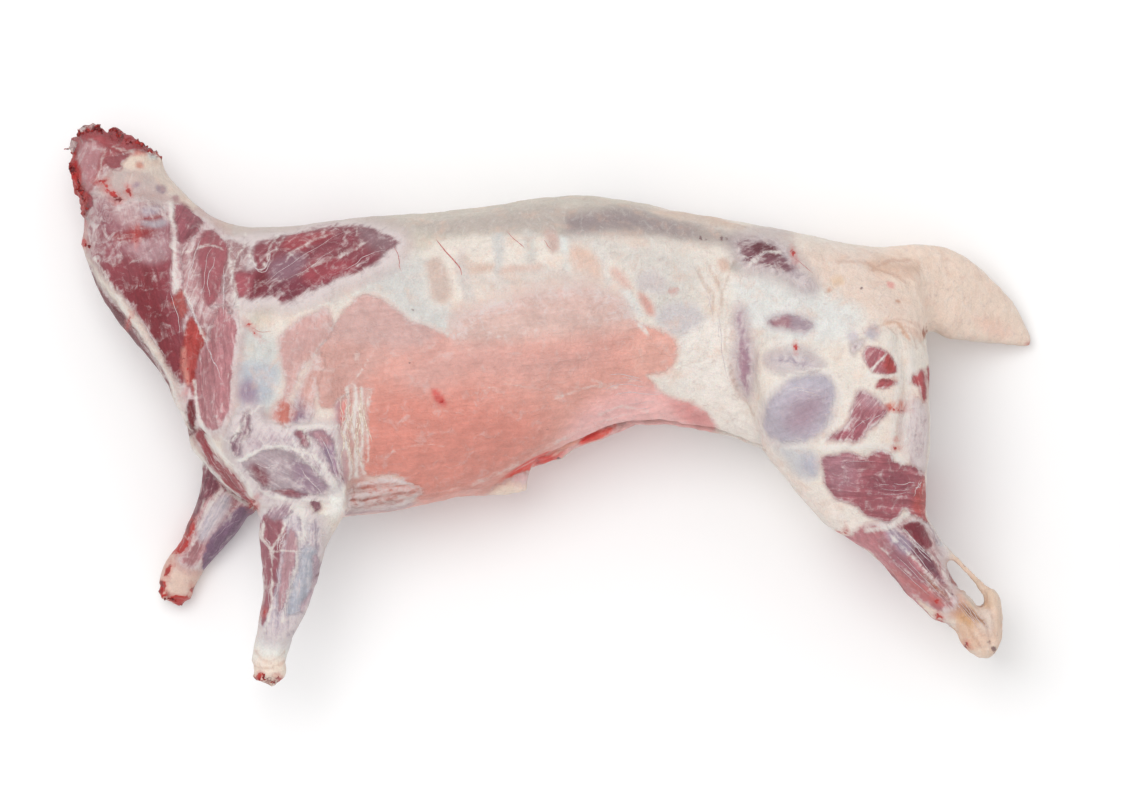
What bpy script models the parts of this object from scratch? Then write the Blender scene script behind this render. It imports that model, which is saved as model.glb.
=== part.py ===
"""A dressed goat carcass that lies on its right side, as one closed solid.

The carcass lies along X with its tail at +X and its back at +Y; +Z is up from the floor.
Sizes below are in millimetres, and heights are taken from the plane that halves the animal.
Each mass of the body is lofted through a few cross-sections. The masses are fused by voxels,
the emptied body cavity and its belly cut are taken out, and the side that lies down is cut flat.
"""
import math
import random

import bmesh
import bpy
from mathutils import Vector

MM = 0.001

# A section is (edge x, edge y, other edge x, other edge y, height, half thickness).
# On the trunk and the neck the first edge is the back; on a leg it is the front.
# A trunk's section has one more value, by which its back half is wider than its belly half.
NECK = (
    (-381, 243, -447, 252, -26, 30),
    (-373, 230, -460, 231, -25, 36),
    (-363, 214, -454, 206, -23, 41),
    (-350, 200, -448, 182, -21, 44),
    (-333, 185, -447, 156, -18, 47),
    (-310, 172, -440, 126, -14, 51),
    (-278, 168, -423, 92, -9, 57),
    (-240, 169, -394, 56, -4, 65),
    (-203, 171, -364, 19, 0, 73),
    (-170, 167, -342, -27, 0, 78),
)
TRUNK = (
    (-322, 70, -345, -38, 0, 40, 0.0),
    (-298, 118, -320, -70, 0, 62, 0.0),
    (-265, 158, -280, -98, 0, 77, 0.0),
    (-227, 172, -232, -108, 0, 86, 0.0),
    (-180, 178, -181, -107, 0, 93, 0.0),
    (-123, 181, -123, -97, 0, 101, 0.0),
    (-66, 188, -66, -80, 0, 106, 0.05),
    (-9, 196, -9, -51, 0, 107, 0.1),
    (29, 199, 29, -35, 0, 105, 0.15),
    (67, 195, 67, -22, 0, 99, 0.2),
    (105, 187, 105, -25, 0, 92, 0.3),
    (143, 180, 143, -31, 0, 87, 0.35),
    (181, 173, 181, -38, 0, 85, 0.3),
    (229, 164, 229, -50, 0, 85, 0.2),
    (276, 154, 276, -46, 0, 82, 0.1),
    (322, 146, 322, -34, 0, 74, 0.0),
    (345, 136, 348, 4, 0, 56, 0.0),
    (354, 105, 356, 42, 0, 30, 0.0),
)
SHOULDER = (
    (-226, 158, -168, 160, 28, 15),
    (-270, 128, -160, 132, 50, 24),
    (-306, 86, -170, 88, 63, 30),
    (-326, 32, -181, 34, 68, 34),
    (-326, -24, -186, -24, 66, 38),
    (-306, -66, -187, -66, 62, 36),
)
NEAR_FORELEG = (
    (-279, -100, -188, -92, 58, 31),
    (-276, -129, -209, -128, 54, 27),
    (-273, -158, -217, -156, 50, 24),
    (-274, -186, -226, -184, 46, 21),
    (-279, -215, -240, -212, 42, 18),
    (-284, -238, -251, -236, 38, 17),
    (-283, -252, -250, -252, 36, 17),
    (-278, -265, -256, -265, 35, 13),
)
FAR_FORELEG = (
    (-332, -24, -186, -24, -66, 38),
    (-334, -62, -196, -66, -66, 34),
    (-339, -88, -281, -100, -68, 28),
    (-348, -112, -300, -122, -72, 23),
    (-360, -134, -315, -141, -74, 19),
    (-372, -152, -328, -154, -74, 17),
    (-379, -170, -339, -168, -74, 17),
    (-376, -190, -346, -190, -74, 14),
)
HIND_LEG = (
    (236, 125, 330, 118, 38, 24),
    (205, 89, 344, 91, 54, 36),
    (192, 42, 355, 48, 61, 43),
    (189, -8, 358, -2, 62, 45),
    (202, -46, 356, -44, 61, 44),
    (226, -77, 354, -74, 58, 40),
    (250, -106, 354, -98, 55, 35),
    (278, -126, 355, -114, 51, 30),
    (302, -142, 359, -127, 48, 25),
    (323, -161, 367, -142, 44, 21),
    (338, -181, 375, -157, 41, 18),
    (354, -198, 383, -173, 38, 15),
    (371, -208, 397, -183, 35, 14),
    (388, -215, 405, -199, 33, 13),
)
HOCK = (
    (409, -179, 424, -177, 33, 9),
    (410, -190, 426, -190, 33, 11),
    (400, -202, 426, -202, 33, 14),
    (384, -209, 427, -213, 32, 15),
    (387, -222, 426, -224, 31, 15),
    (396, -235, 421, -236, 30, 13),
    (406, -242, 416, -242, 30, 8),
)
HEEL_TENDON = (
    (358, -108, 342, -112, 46, 8),
    (370, -127, 362, -137, 43, 6),
    (390, -147, 382, -153, 39, 5),
    (410, -168, 401, -174, 36, 5),
    (424, -179, 412, -185, 33, 8),
)
TAIL = (
    (300, 146, 306, 84, 0, 48),
    (326, 149, 332, 76, -6, 38),
    (352, 152, 354, 73, -14, 30),
    (378, 150, 378, 61, -28, 24),
    (401, 139, 400, 58, -42, 19),
    (422, 122, 422, 56, -57, 15),
    (441, 101, 442, 54, -70, 11),
    (453, 80, 455, 52, -79, 8),
    (462, 59, 465, 50, -84, 5),
)
BREASTBONE_FLAP = (
    (-100, -70, -100, -88, -9, 7),
    (-66, -66, -66, -90, -10, 6),
    (-47, -62, -45, -89, -10, 6),
    (-32, -54, -31, -86, -9, 6),
    (-17, -52, -22, -89, -9, 5),
)
CUT_LIP = (
    (-60, -62, -58, -76, -22, 7),
    (-36, -54, -34, -67, -24, 8),
    (-8, -38, -6, -57, -26, 8),
    (8, -32, 8, -53, -26, 8),
    (25, -24, 27, -43, -26, 7),
    (50, -14, 52, -36, -26, 7),
    (72, -6, 74, -24, -25, 6),
)
CAVITY = (
    (-273, 70, -273, -34, 0, 26, 0.0),
    (-237, 113, -237, -70, 0, 50, 0.0),
    (-189, 129, -189, -82, 0, 63, 0.0),
    (-123, 139, -123, -72, 0, 77, 0.0),
    (-66, 144, -66, -54, 0, 84, 0.05),
    (-9, 152, -9, -31, 0, 86, 0.1),
    (48, 150, 48, -12, 0, 83, 0.15),
    (105, 141, 105, -7, 0, 75, 0.25),
    (162, 129, 162, -14, 0, 66, 0.3),
    (219, 116, 219, -24, 0, 54, 0.2),
    (267, 99, 267, -17, 0, 38, 0.1),
    (305, 75, 305, 9, 0, 20, 0.0),
)
BELLY_CUT = (
    (-14, -10, -14, -80, 4, 6),
    (12, 5, 12, -75, 4, 15),
    (60, 20, 60, -58, 4, 21),
    (110, 25, 110, -56, 4, 22),
    (160, 20, 160, -64, 4, 17),
    (206, 5, 206, -75, 4, 6),
)

# Muscles that stand out on each side of the body.
NECK_MUSCLE = (
    (-427, 190, -370, 198, -4, 28),
    (-436, 160, -352, 170, 0, 33),
    (-431, 130, -345, 142, 3, 35),
    (-412, 103, -345, 118, 4, 32),
)
THROAT_STRAP = (
    (-430, 120, -402, 126, 8, 22),
    (-396, 68, -362, 80, 20, 27),
    (-364, 18, -332, 34, 34, 28),
    (-342, -28, -308, -15, 42, 26),
)
SHOULDER_POINT = (
    (-318, 24, -268, 26, 80, 17),
    (-320, -12, -262, -10, 86, 20),
    (-304, -46, -262, -44, 82, 18),
)
UPPER_ARM = (
    (-262, 42, -200, 46, 78, 19),
    (-262, 5, -190, 8, 84, 23),
    (-256, -35, -186, -34, 82, 23),
    (-246, -72, -187, -74, 75, 19),
)
FRONT_THIGH = (
    (208, 112, 256, 114, 56, 14),
    (202, 90, 260, 92, 74, 18),
    (193, 50, 264, 54, 83, 22),
    (195, 5, 266, 6, 85, 23),
    (210, -38, 270, -38, 79, 20),
)
OUTER_THIGH = (
    (278, 100, 320, 100, 66, 12),
    (270, 66, 326, 68, 84, 18),
    (266, 20, 331, 20, 91, 20),
    (262, -25, 331, -25, 91, 20),
    (270, -70, 331, -72, 83, 18),
    (288, -105, 336, -105, 73, 14),
)
REAR_THIGH = (
    (324, 66, 348, 68, 58, 20),
    (326, 10, 357, 10, 67, 24),
    (328, -40, 355, -40, 65, 24),
    (326, -90, 352, -90, 57, 20),
)
CALF = (
    (296, -114, 340, -104, 58, 17),
    (314, -136, 348, -122, 54, 17),
    (328, -160, 358, -144, 47, 13),
)

# A lump is (x, y, height, radius).
NECK_STUMP = (
    (-465, 243, -14, 7),
    (-457, 226, -30, 8),
    (-450, 250, -26, 11),
    (-442, 258, -8, 11),
    (-430, 257, -2, 10),
    (-418, 252, -24, 13),
    (-404, 245, 2, 11),
    (-389, 240, -6, 11),
    (-377, 236, -22, 8),
    (-418, 250, -50, 12),
    (-396, 242, -44, 11),
)
SMALL_LUMPS = (
    (-446, 153, -16, 6),
    (-191, -92, 52, 13),
    (-225, -164, 52, 7),
    (363, -201, 38, 8),
    (366, -202, -34, 8),
    (8, -51, -24, 6),
    (195, 136, 42, 20),
    (195, 136, -42, 20),
)

# Section counts: the thigh's share of a hind leg, and where legs start inside the body.
THIGH_SECTIONS = 7
LEG_START = 4

RING_SIDES = 40
STEPS_PER_SECTION = 5
BODY_SQUARENESS = 2.25
CUT_SQUARENESS = 6.0
LUMP_SQUASH = 0.85
LUMP_SEED = 7

SMOOTH_FACTOR = 0.5
MASS_VOXEL = 5.0
MASS_SMOOTHING = 10
SKIN_VOXEL = 3.2
SKIN_SMOOTHING = 4
TRIANGLE_GOAL = 11400

FLOOR_DEPTH = 92.0
FLOOR_BLOCK = 2000.0
FAR_LEG_REACH = 1.008

MEAT_COLOUR = (0.62, 0.38, 0.34, 1.0)
MEAT_ROUGHNESS = 0.5


def clear_scene():
    """Remove every object that the file opens with."""
    for item in list(bpy.data.objects):
        bpy.data.objects.remove(item)


def spline_value(values, place):
    """Catmull-Rom value at a place that counts sections, such as 2.5."""
    last = len(values) - 1
    index = min(int(place), last - 1)
    t = place - index
    before = values[max(index - 1, 0)]
    start = values[index]
    end = values[index + 1]
    after = values[min(index + 2, last)]
    bend = 2 * before - 5 * start + 4 * end - after
    twist = 3 * (start - end) + after - before
    return start + 0.5 * t * (end - before + t * (bend + t * twist))


def signed_power(value, power):
    """A power that keeps the sign, for a superellipse."""
    return math.copysign(abs(value) ** power, value)


def section_ring(section, squareness):
    """Points of one closed cross-section, in metres."""
    edge_x, edge_y, other_x, other_y, height, half_thickness, *extra = section
    fullness = extra[0] if extra else 0.0
    edge = Vector((edge_x, edge_y, 0))
    other = Vector((other_x, other_y, 0))
    middle = (edge + other) / 2
    reach = (edge - other) / 2
    points = []
    for side in range(RING_SIDES):
        angle = 2 * math.pi * side / RING_SIDES
        along = signed_power(math.cos(angle), 2 / squareness)
        across = signed_power(math.sin(angle), 2 / squareness) * (1 + fullness * along)
        point = middle + reach * along
        point.z = height + half_thickness * across
        points.append(point * MM)
    return points


def add_loft(shell, sections, squareness=BODY_SQUARENESS):
    """Add a closed loft through the sections to a bmesh."""
    columns = list(zip(*sections))
    count = (len(sections) - 1) * STEPS_PER_SECTION
    rings = []
    for step in range(count + 1):
        place = step / STEPS_PER_SECTION
        section = [spline_value(column, place) for column in columns]
        rings.append([shell.verts.new(p) for p in section_ring(section, squareness)])
    for ring, following in zip(rings, rings[1:]):
        for side in range(RING_SIDES):
            after = (side + 1) % RING_SIDES
            shell.faces.new((ring[side], ring[after], following[after], following[side]))
    shell.faces.new(list(reversed(rings[0])))
    shell.faces.new(rings[-1])


def add_lump(shell, x, y, height, radius, dice):
    """Add a small uneven ball, such as a shred of flesh or a bone's end."""
    made = bmesh.ops.create_icosphere(shell, subdivisions=2, radius=radius * MM)
    centre = Vector((x, y, height)) * MM
    for vertex in made["verts"]:
        stretch = dice.uniform(LUMP_SQUASH, 1)
        vertex.co = centre + vertex.co * stretch


def mirrored(sections):
    """The same sections on the animal's other side."""
    return [(*section[:4], -section[4], section[5]) for section in sections]


def reached(sections):
    """The far leg's sections, which end a little farther out than the near leg's."""
    return [tuple(value * FAR_LEG_REACH for value in section[:4]) + section[4:] for section in sections]


def shell_object(name, shell):
    """Turn a bmesh into an object with outward faces."""
    bmesh.ops.recalc_face_normals(shell, faces=shell.faces)
    mesh = bpy.data.meshes.new(name)
    shell.to_mesh(mesh)
    shell.free()
    item = bpy.data.objects.new(name, mesh)
    bpy.context.scene.collection.objects.link(item)
    return item


def apply_modifiers(item):
    """Replace the object's mesh with the one that its modifiers give."""
    graph = bpy.context.evaluated_depsgraph_get()
    mesh = bpy.data.meshes.new_from_object(item.evaluated_get(graph))
    item.modifiers.clear()
    item.data = mesh


def fuse(item, voxel, smoothing):
    """Fuse an object's overlapping shells into one skin, and soften it."""
    remesh = item.modifiers.new("fuse", "REMESH")
    remesh.mode = "VOXEL"
    remesh.voxel_size = voxel * MM
    smooth = item.modifiers.new("soften", "SMOOTH")
    smooth.factor = SMOOTH_FACTOR
    smooth.iterations = smoothing
    apply_modifiers(item)


def subtract(item, cutter):
    """Take a closed cutter out of an object and remove the cutter."""
    cut = item.modifiers.new("cut", "BOOLEAN")
    cut.operation = "DIFFERENCE"
    cut.solver = "EXACT"
    cut.object = cutter
    apply_modifiers(item)
    bpy.data.objects.remove(cutter)


def body_masses():
    """Trunk, neck, shoulders and thighs: the large soft masses."""
    shell = bmesh.new()
    add_loft(shell, TRUNK)
    add_loft(shell, NECK)
    for side in (SHOULDER, mirrored(SHOULDER)):
        add_loft(shell, side)
    for side in (HIND_LEG, mirrored(reached(HIND_LEG))):
        add_loft(shell, side[:THIGH_SECTIONS])
    return shell_object("carcass", shell)


def add_limbs(shell):
    """The four legs below the body, with the hocks and their tendons."""
    add_loft(shell, SHOULDER[LEG_START:] + NEAR_FORELEG)
    add_loft(shell, FAR_FORELEG)
    for part in (HIND_LEG[LEG_START:], HOCK, HEEL_TENDON):
        add_loft(shell, part)
        add_loft(shell, mirrored(reached(part)))


def add_muscles(shell):
    """The muscles that swell out of both sides."""
    for muscle in (NECK_MUSCLE, THROAT_STRAP, SHOULDER_POINT, UPPER_ARM):
        add_loft(shell, muscle)
        add_loft(shell, mirrored(muscle))
    for muscle in (FRONT_THIGH, OUTER_THIGH, REAR_THIGH, CALF):
        add_loft(shell, muscle)
        add_loft(shell, mirrored(reached(muscle)))


def add_ends(shell):
    """The tail, the torn neck end and the small flaps and lumps."""
    dice = random.Random(LUMP_SEED)
    add_loft(shell, TAIL)
    add_loft(shell, BREASTBONE_FLAP)
    add_loft(shell, CUT_LIP)
    for lump in NECK_STUMP + SMALL_LUMPS:
        add_lump(shell, *lump, dice)


def cavity_cutter():
    """The emptied body cavity, fused with the cut along the belly."""
    shell = bmesh.new()
    add_loft(shell, CAVITY)
    add_loft(shell, BELLY_CUT, CUT_SQUARENESS)
    cutter = shell_object("cavity", shell)
    fuse(cutter, SKIN_VOXEL, SKIN_SMOOTHING)
    return cutter


def floor_cutter():
    """A block whose top is the floor under the carcass."""
    shell = bmesh.new()
    bmesh.ops.create_cube(shell, size=FLOOR_BLOCK * MM)
    for vertex in shell.verts:
        vertex.co.z -= (FLOOR_BLOCK / 2 + FLOOR_DEPTH) * MM
    return shell_object("floor", shell)


def thin_out(item, goal):
    """Collapse the smallest triangles until about the goal is left."""
    triangles = sum(len(face.vertices) - 2 for face in item.data.polygons)
    thin = item.modifiers.new("thin", "DECIMATE")
    thin.ratio = goal / triangles
    thin.use_collapse_triangulate = True
    apply_modifiers(item)


def stand_on_origin(item):
    """Put the middle of the solid's base on the origin."""
    corners = [vertex.co for vertex in item.data.vertices]
    low = Vector([min(corner[axis] for corner in corners) for axis in range(3)])
    high = Vector([max(corner[axis] for corner in corners) for axis in range(3)])
    middle = (low + high) / 2
    middle.z = low.z
    for vertex in item.data.vertices:
        vertex.co -= middle


def meat_material():
    """Plain raw meat."""
    material = bpy.data.materials.new("meat")
    material.use_nodes = True
    shader = material.node_tree.nodes["Principled BSDF"]
    shader.inputs["Base Color"].default_value = MEAT_COLOUR
    shader.inputs["Roughness"].default_value = MEAT_ROUGHNESS
    shader.inputs["Metallic"].default_value = 0.0
    return material


def build_carcass():
    """Build the whole carcass."""
    carcass = body_masses()
    fuse(carcass, MASS_VOXEL, MASS_SMOOTHING)
    shell = bmesh.new()
    shell.from_mesh(carcass.data)
    add_limbs(shell)
    add_muscles(shell)
    add_ends(shell)
    shell.to_mesh(carcass.data)
    shell.free()
    fuse(carcass, SKIN_VOXEL, SKIN_SMOOTHING)
    subtract(carcass, cavity_cutter())
    fuse(carcass, SKIN_VOXEL, SKIN_SMOOTHING)
    thin_out(carcass, TRIANGLE_GOAL)
    subtract(carcass, floor_cutter())
    stand_on_origin(carcass)
    carcass.data.materials.clear()
    carcass.data.materials.append(meat_material())
    carcass.data.shade_smooth()


def main():
    clear_scene()
    build_carcass()


main()
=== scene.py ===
"""Looks of a dressed goat carcass: flesh, fascia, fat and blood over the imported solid.

The camera looks straight down on the carcass. Outlines of muscles and spots of fat are given where
they show in the picture, in its 1121 x 800 pixels, and a point of the surface finds its own place
in the picture through the camera. The side that lies down wears the same outlines.
"""
import math
import random
from collections import namedtuple

import bmesh
import bpy
import numpy as np
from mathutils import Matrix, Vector, noise
from mathutils.bvhtree import BVHTree


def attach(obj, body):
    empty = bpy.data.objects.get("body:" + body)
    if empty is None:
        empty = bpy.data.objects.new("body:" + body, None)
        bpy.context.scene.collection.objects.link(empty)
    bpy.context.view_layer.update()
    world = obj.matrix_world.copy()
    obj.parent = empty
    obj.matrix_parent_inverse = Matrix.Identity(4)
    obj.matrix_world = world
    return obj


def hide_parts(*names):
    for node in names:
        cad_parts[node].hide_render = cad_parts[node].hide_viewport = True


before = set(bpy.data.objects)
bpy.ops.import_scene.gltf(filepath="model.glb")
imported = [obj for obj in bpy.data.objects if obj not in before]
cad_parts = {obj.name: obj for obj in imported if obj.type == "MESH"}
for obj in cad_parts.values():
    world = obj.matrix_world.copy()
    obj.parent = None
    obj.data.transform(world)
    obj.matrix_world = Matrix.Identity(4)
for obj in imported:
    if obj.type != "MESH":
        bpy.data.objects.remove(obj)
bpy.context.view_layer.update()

# The picture and its camera, in pixels, metres and, for the sensor, millimetres.
PICTURE_WIDTH = 1121
PICTURE_HEIGHT = 800
METRES_PER_PIXEL = 0.00095
ORIGIN_PIXEL = (548.1, 403.2)
MIDDLE_HEIGHT = 0.102
CAMERA_DISTANCE = 8.0
CAMERA_REACH = 50
SENSOR_WIDTH = 36.0
CAMERA_X = (PICTURE_WIDTH / 2 - ORIGIN_PIXEL[0]) * METRES_PER_PIXEL
CAMERA_Y = (ORIGIN_PIXEL[1] - PICTURE_HEIGHT / 2) * METRES_PER_PIXEL

# The upper side, which the picture shows, and the lower one.
SIDES = (1, -1)

# The skin mesh. The voxel and the least height over the floor are in metres.
SKIN_VOXEL = 0.0028
SKIN_SOFTENING = 0.5
SKIN_SMOOTHING = 14
SKIN_TRIANGLES = 197000
UNDERSIDE_NORMAL = -0.35
FLOOR_GAP = 0.0004
MILLIMETRE = 0.001

# The walls of the body cavity lie in this box, on the back's side of a line that rises toward the
# tail. A wall has others above and below it, and one in front of it or, beyond CAVITY_DEEP, ahead,
# behind and toward the back. They are looked for from RAY_LIFT off the surface. All this is in
# metres. CAVITY_THINNED is the share of the walls' triangles that is taken out, and CAVITY_LINING
# how far the walls are brought in, in millimetres, so that they keep their thickness.
CAVITY_LOW = (-0.275, -0.078, 0.018)
CAVITY_HIGH = (0.31, 0.158, 0.178)
CAVITY_RISE = 0.25
CAVITY_DEEP = 0.02
RAY_LIFT = 0.0005
CAVITY_THINNED = 0.85
CAVITY_LINING = 1.2

# Outlines, in pixels: how far they reach, how soft they are at least and before the first one, and
# how far inside them the flesh stops swelling. Around them runs a groove, whose width is in pixels
# and whose depth is in millimetres, as is the height of the white bands.
REACH = 16
OUTLINE_SOFT = 1.2
PLAIN_SOFT = 2.0
SWELL_REACH = 14
GROOVE_WIDTH = 1.8
GROOVE = 0.55
BAND_HEIGHT = 0.5

# The lower side wears the upper side's outlines, fully where its normals point down by this much.
LOWER_NORMALS = (0.0, 0.5)

# A side is steep where its normals rise less than this, fully below the first number. There outlines
# wander by so many pixels at these places across the picture.
STEEP_NORMALS = (0.05, 0.45)
STEEP_PLACES = (250, 420, 800, 900)
STEEP_WANDER = (5, 13, 13, 30)

# Furrows narrower than this wear a line of painted shade, and how wide that line is, both in pixels.
CREASE_WIDTH = 4
CREASE_SHADE_REACH = 2.4

# The noise that outlines and lumps are made with starts from this number in each run.
NOISE_SEED = 7

# Waves of that noise: size in metres, place in the noise, and height. The height is in pixels where
# outlines fray, a share of STEEP_WANDER on steep sides, and in millimetres on the surface.
Wave = namedtuple("Wave", "size offset height")
WIDE_FRAY = Wave(0.016, 3.1, 1.6)
FINE_FRAY = Wave(0.006, 9.7, 1.1)
LOWER_FRAY = Wave(0.07, 17.3, 8)
STEEP_FRAY = Wave(0.04, 23.9, 1)
LUMPS = (Wave(0.045, 31.0, 1.8), Wave(0.016, 37.0, 0.9), Wave(0.0065, 41.0, 0.4))
WIDE_TEARS = Wave(0.013, 51.0, 7.0)
FINE_TEARS = Wave(0.005, 57.0, 2.5)

# Noises of the skin's colour: scale, detail, roughness, distortion.
BLOTCH = (55, 5, 0.6, 0.3)
CLOUD = (85, 6, 0.68, 0.9)
MOTTLE = (190, 5, 0.62, 0.6)
GRAIN = (700, 3, 0.6, 0.0)
WISP = (1.0, 4, 0.6, 1.6)
WISP_STRETCH = (140, 50, 90)
WISP_OFFSET = (0.3, 0.1, 0.2)

# Fibres and fine hairs of the flesh, with their stretch along and across the fibre, and an offset.
THREAD = (1.0, 6, 0.66, 0.7)
THREAD_STRETCH = (0.022, 0.19, 0.0)
HAIR = (1.0, 2, 0.5, 0.3)
HAIR_STRETCH = (0.06, 1.2, 3.0)

# Relief of the skin's material: strength, and height in metres.
SKIN_BUMP = (0.6, 0.0018)
PLAIN_BUMP = (0.4, 0.001)

# Where the random draws of the thin pieces start.
SINEW_SEED = 7
VESSEL_SEED = 11
FRINGE_SEED = 5
FLAKE_SEED = 3

# Strands: the step along them and the height of their ripple in pixels, its two waves, how it leans
# across the picture, the shares of the radius at the ends and under the skin, and the taper.
STRAND_STEP = 3
STRAND_RIPPLE = 0.4
STRAND_WAVES = (7, 19)
STRAND_LEAN = 0.6
STRAND_TIP = 0.25
STRAND_SUNK = 0.35
STRAND_TAPER = 0.6
TUBE_SIDES = 5
TUBE_HINT = (0.13, 0.27, 1)

# Flakes: sides, thickness for their width, width for their length and at least in metres, the share
# that is sunk, and their width at some shares of their length.
FLAKE_SIDES = 7
FLAKE_FLATNESS = 0.4
FLAKE_WIDTH = 0.45
FLAKE_LEAST = 0.001
FLAKE_SUNK = 0.55
FLAKE_PROFILE = ((0.0, 1.0), (0.35, 1.0), (0.7, 0.65), (0.9, 0.35), (1.0, 0.1))

# Light and floor.
ROOM_LIGHT = 0.9
HORIZON_LIGHT = 0.58
HORIZON_TOP = 0.8
LAMP_WATTS = 46
LAMP_SIZE = 2.2
LAMP_PLACE = (-0.7, 0.9, 3.4)
LAMP_AIM = (0, 0, 0.1)
FLOOR_SIZE = 12
FLOOR_HEIGHT = -0.0005
FLOOR_WHITE = "fafafa"

# Palette of the skin, and the light and dark colour of each thin piece on it.
CREAM = "e1d7cd"
MAUVE_RED = "9d5f66"
BLOTCH_PEACH = "dcb6a2"
WISP_WHITE = "ebe7e3"
MOTTLE_GREY = "b79f9d"
VEIL_WHITE = "d9cdcb"
BAND_WHITE = "e0d9d3"
# Painted shade along the narrow furrows.
CREASE_SHADE = "c59c8b"
BLOOD = "b3211c"
BLOOD_RIM = "c25f58"
CLOT = "6d1216"
CLOT_RED = "8a2a2b"
CLOT_DARK = "4d1317"
TORN_PALE = "c9a09c"
# Painted shade of the small pits, and the own colour of dark scabs.
PIT_SHADE_AND_SCAB = "6b4a50"
CAVITY_PINK = "d48f86"
CAVITY_PALE = "e6c2b6"
SINEW_COLOURS = ("dccfce", "c2adb0")
VESSEL_COLOURS = ("b0605e", "c98782")
FRINGE_COLOURS = ("e8dccd", "cbaf9f")
SHRED_COLOURS = ("a8302c", "571016")
GRISTLE_COLOURS = ("d0c0ba", "a58f90")

Patch = namedtuple("Patch", "name colour soft veil bulge grain outline")
Tint = namedtuple("Tint", "name colour feather outline")
Fold = namedtuple("Fold", "name height width line")
Spot = namedtuple("Spot", "x y across along turn")
Strands = namedtuple("Strands", "name count width first last")

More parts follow.
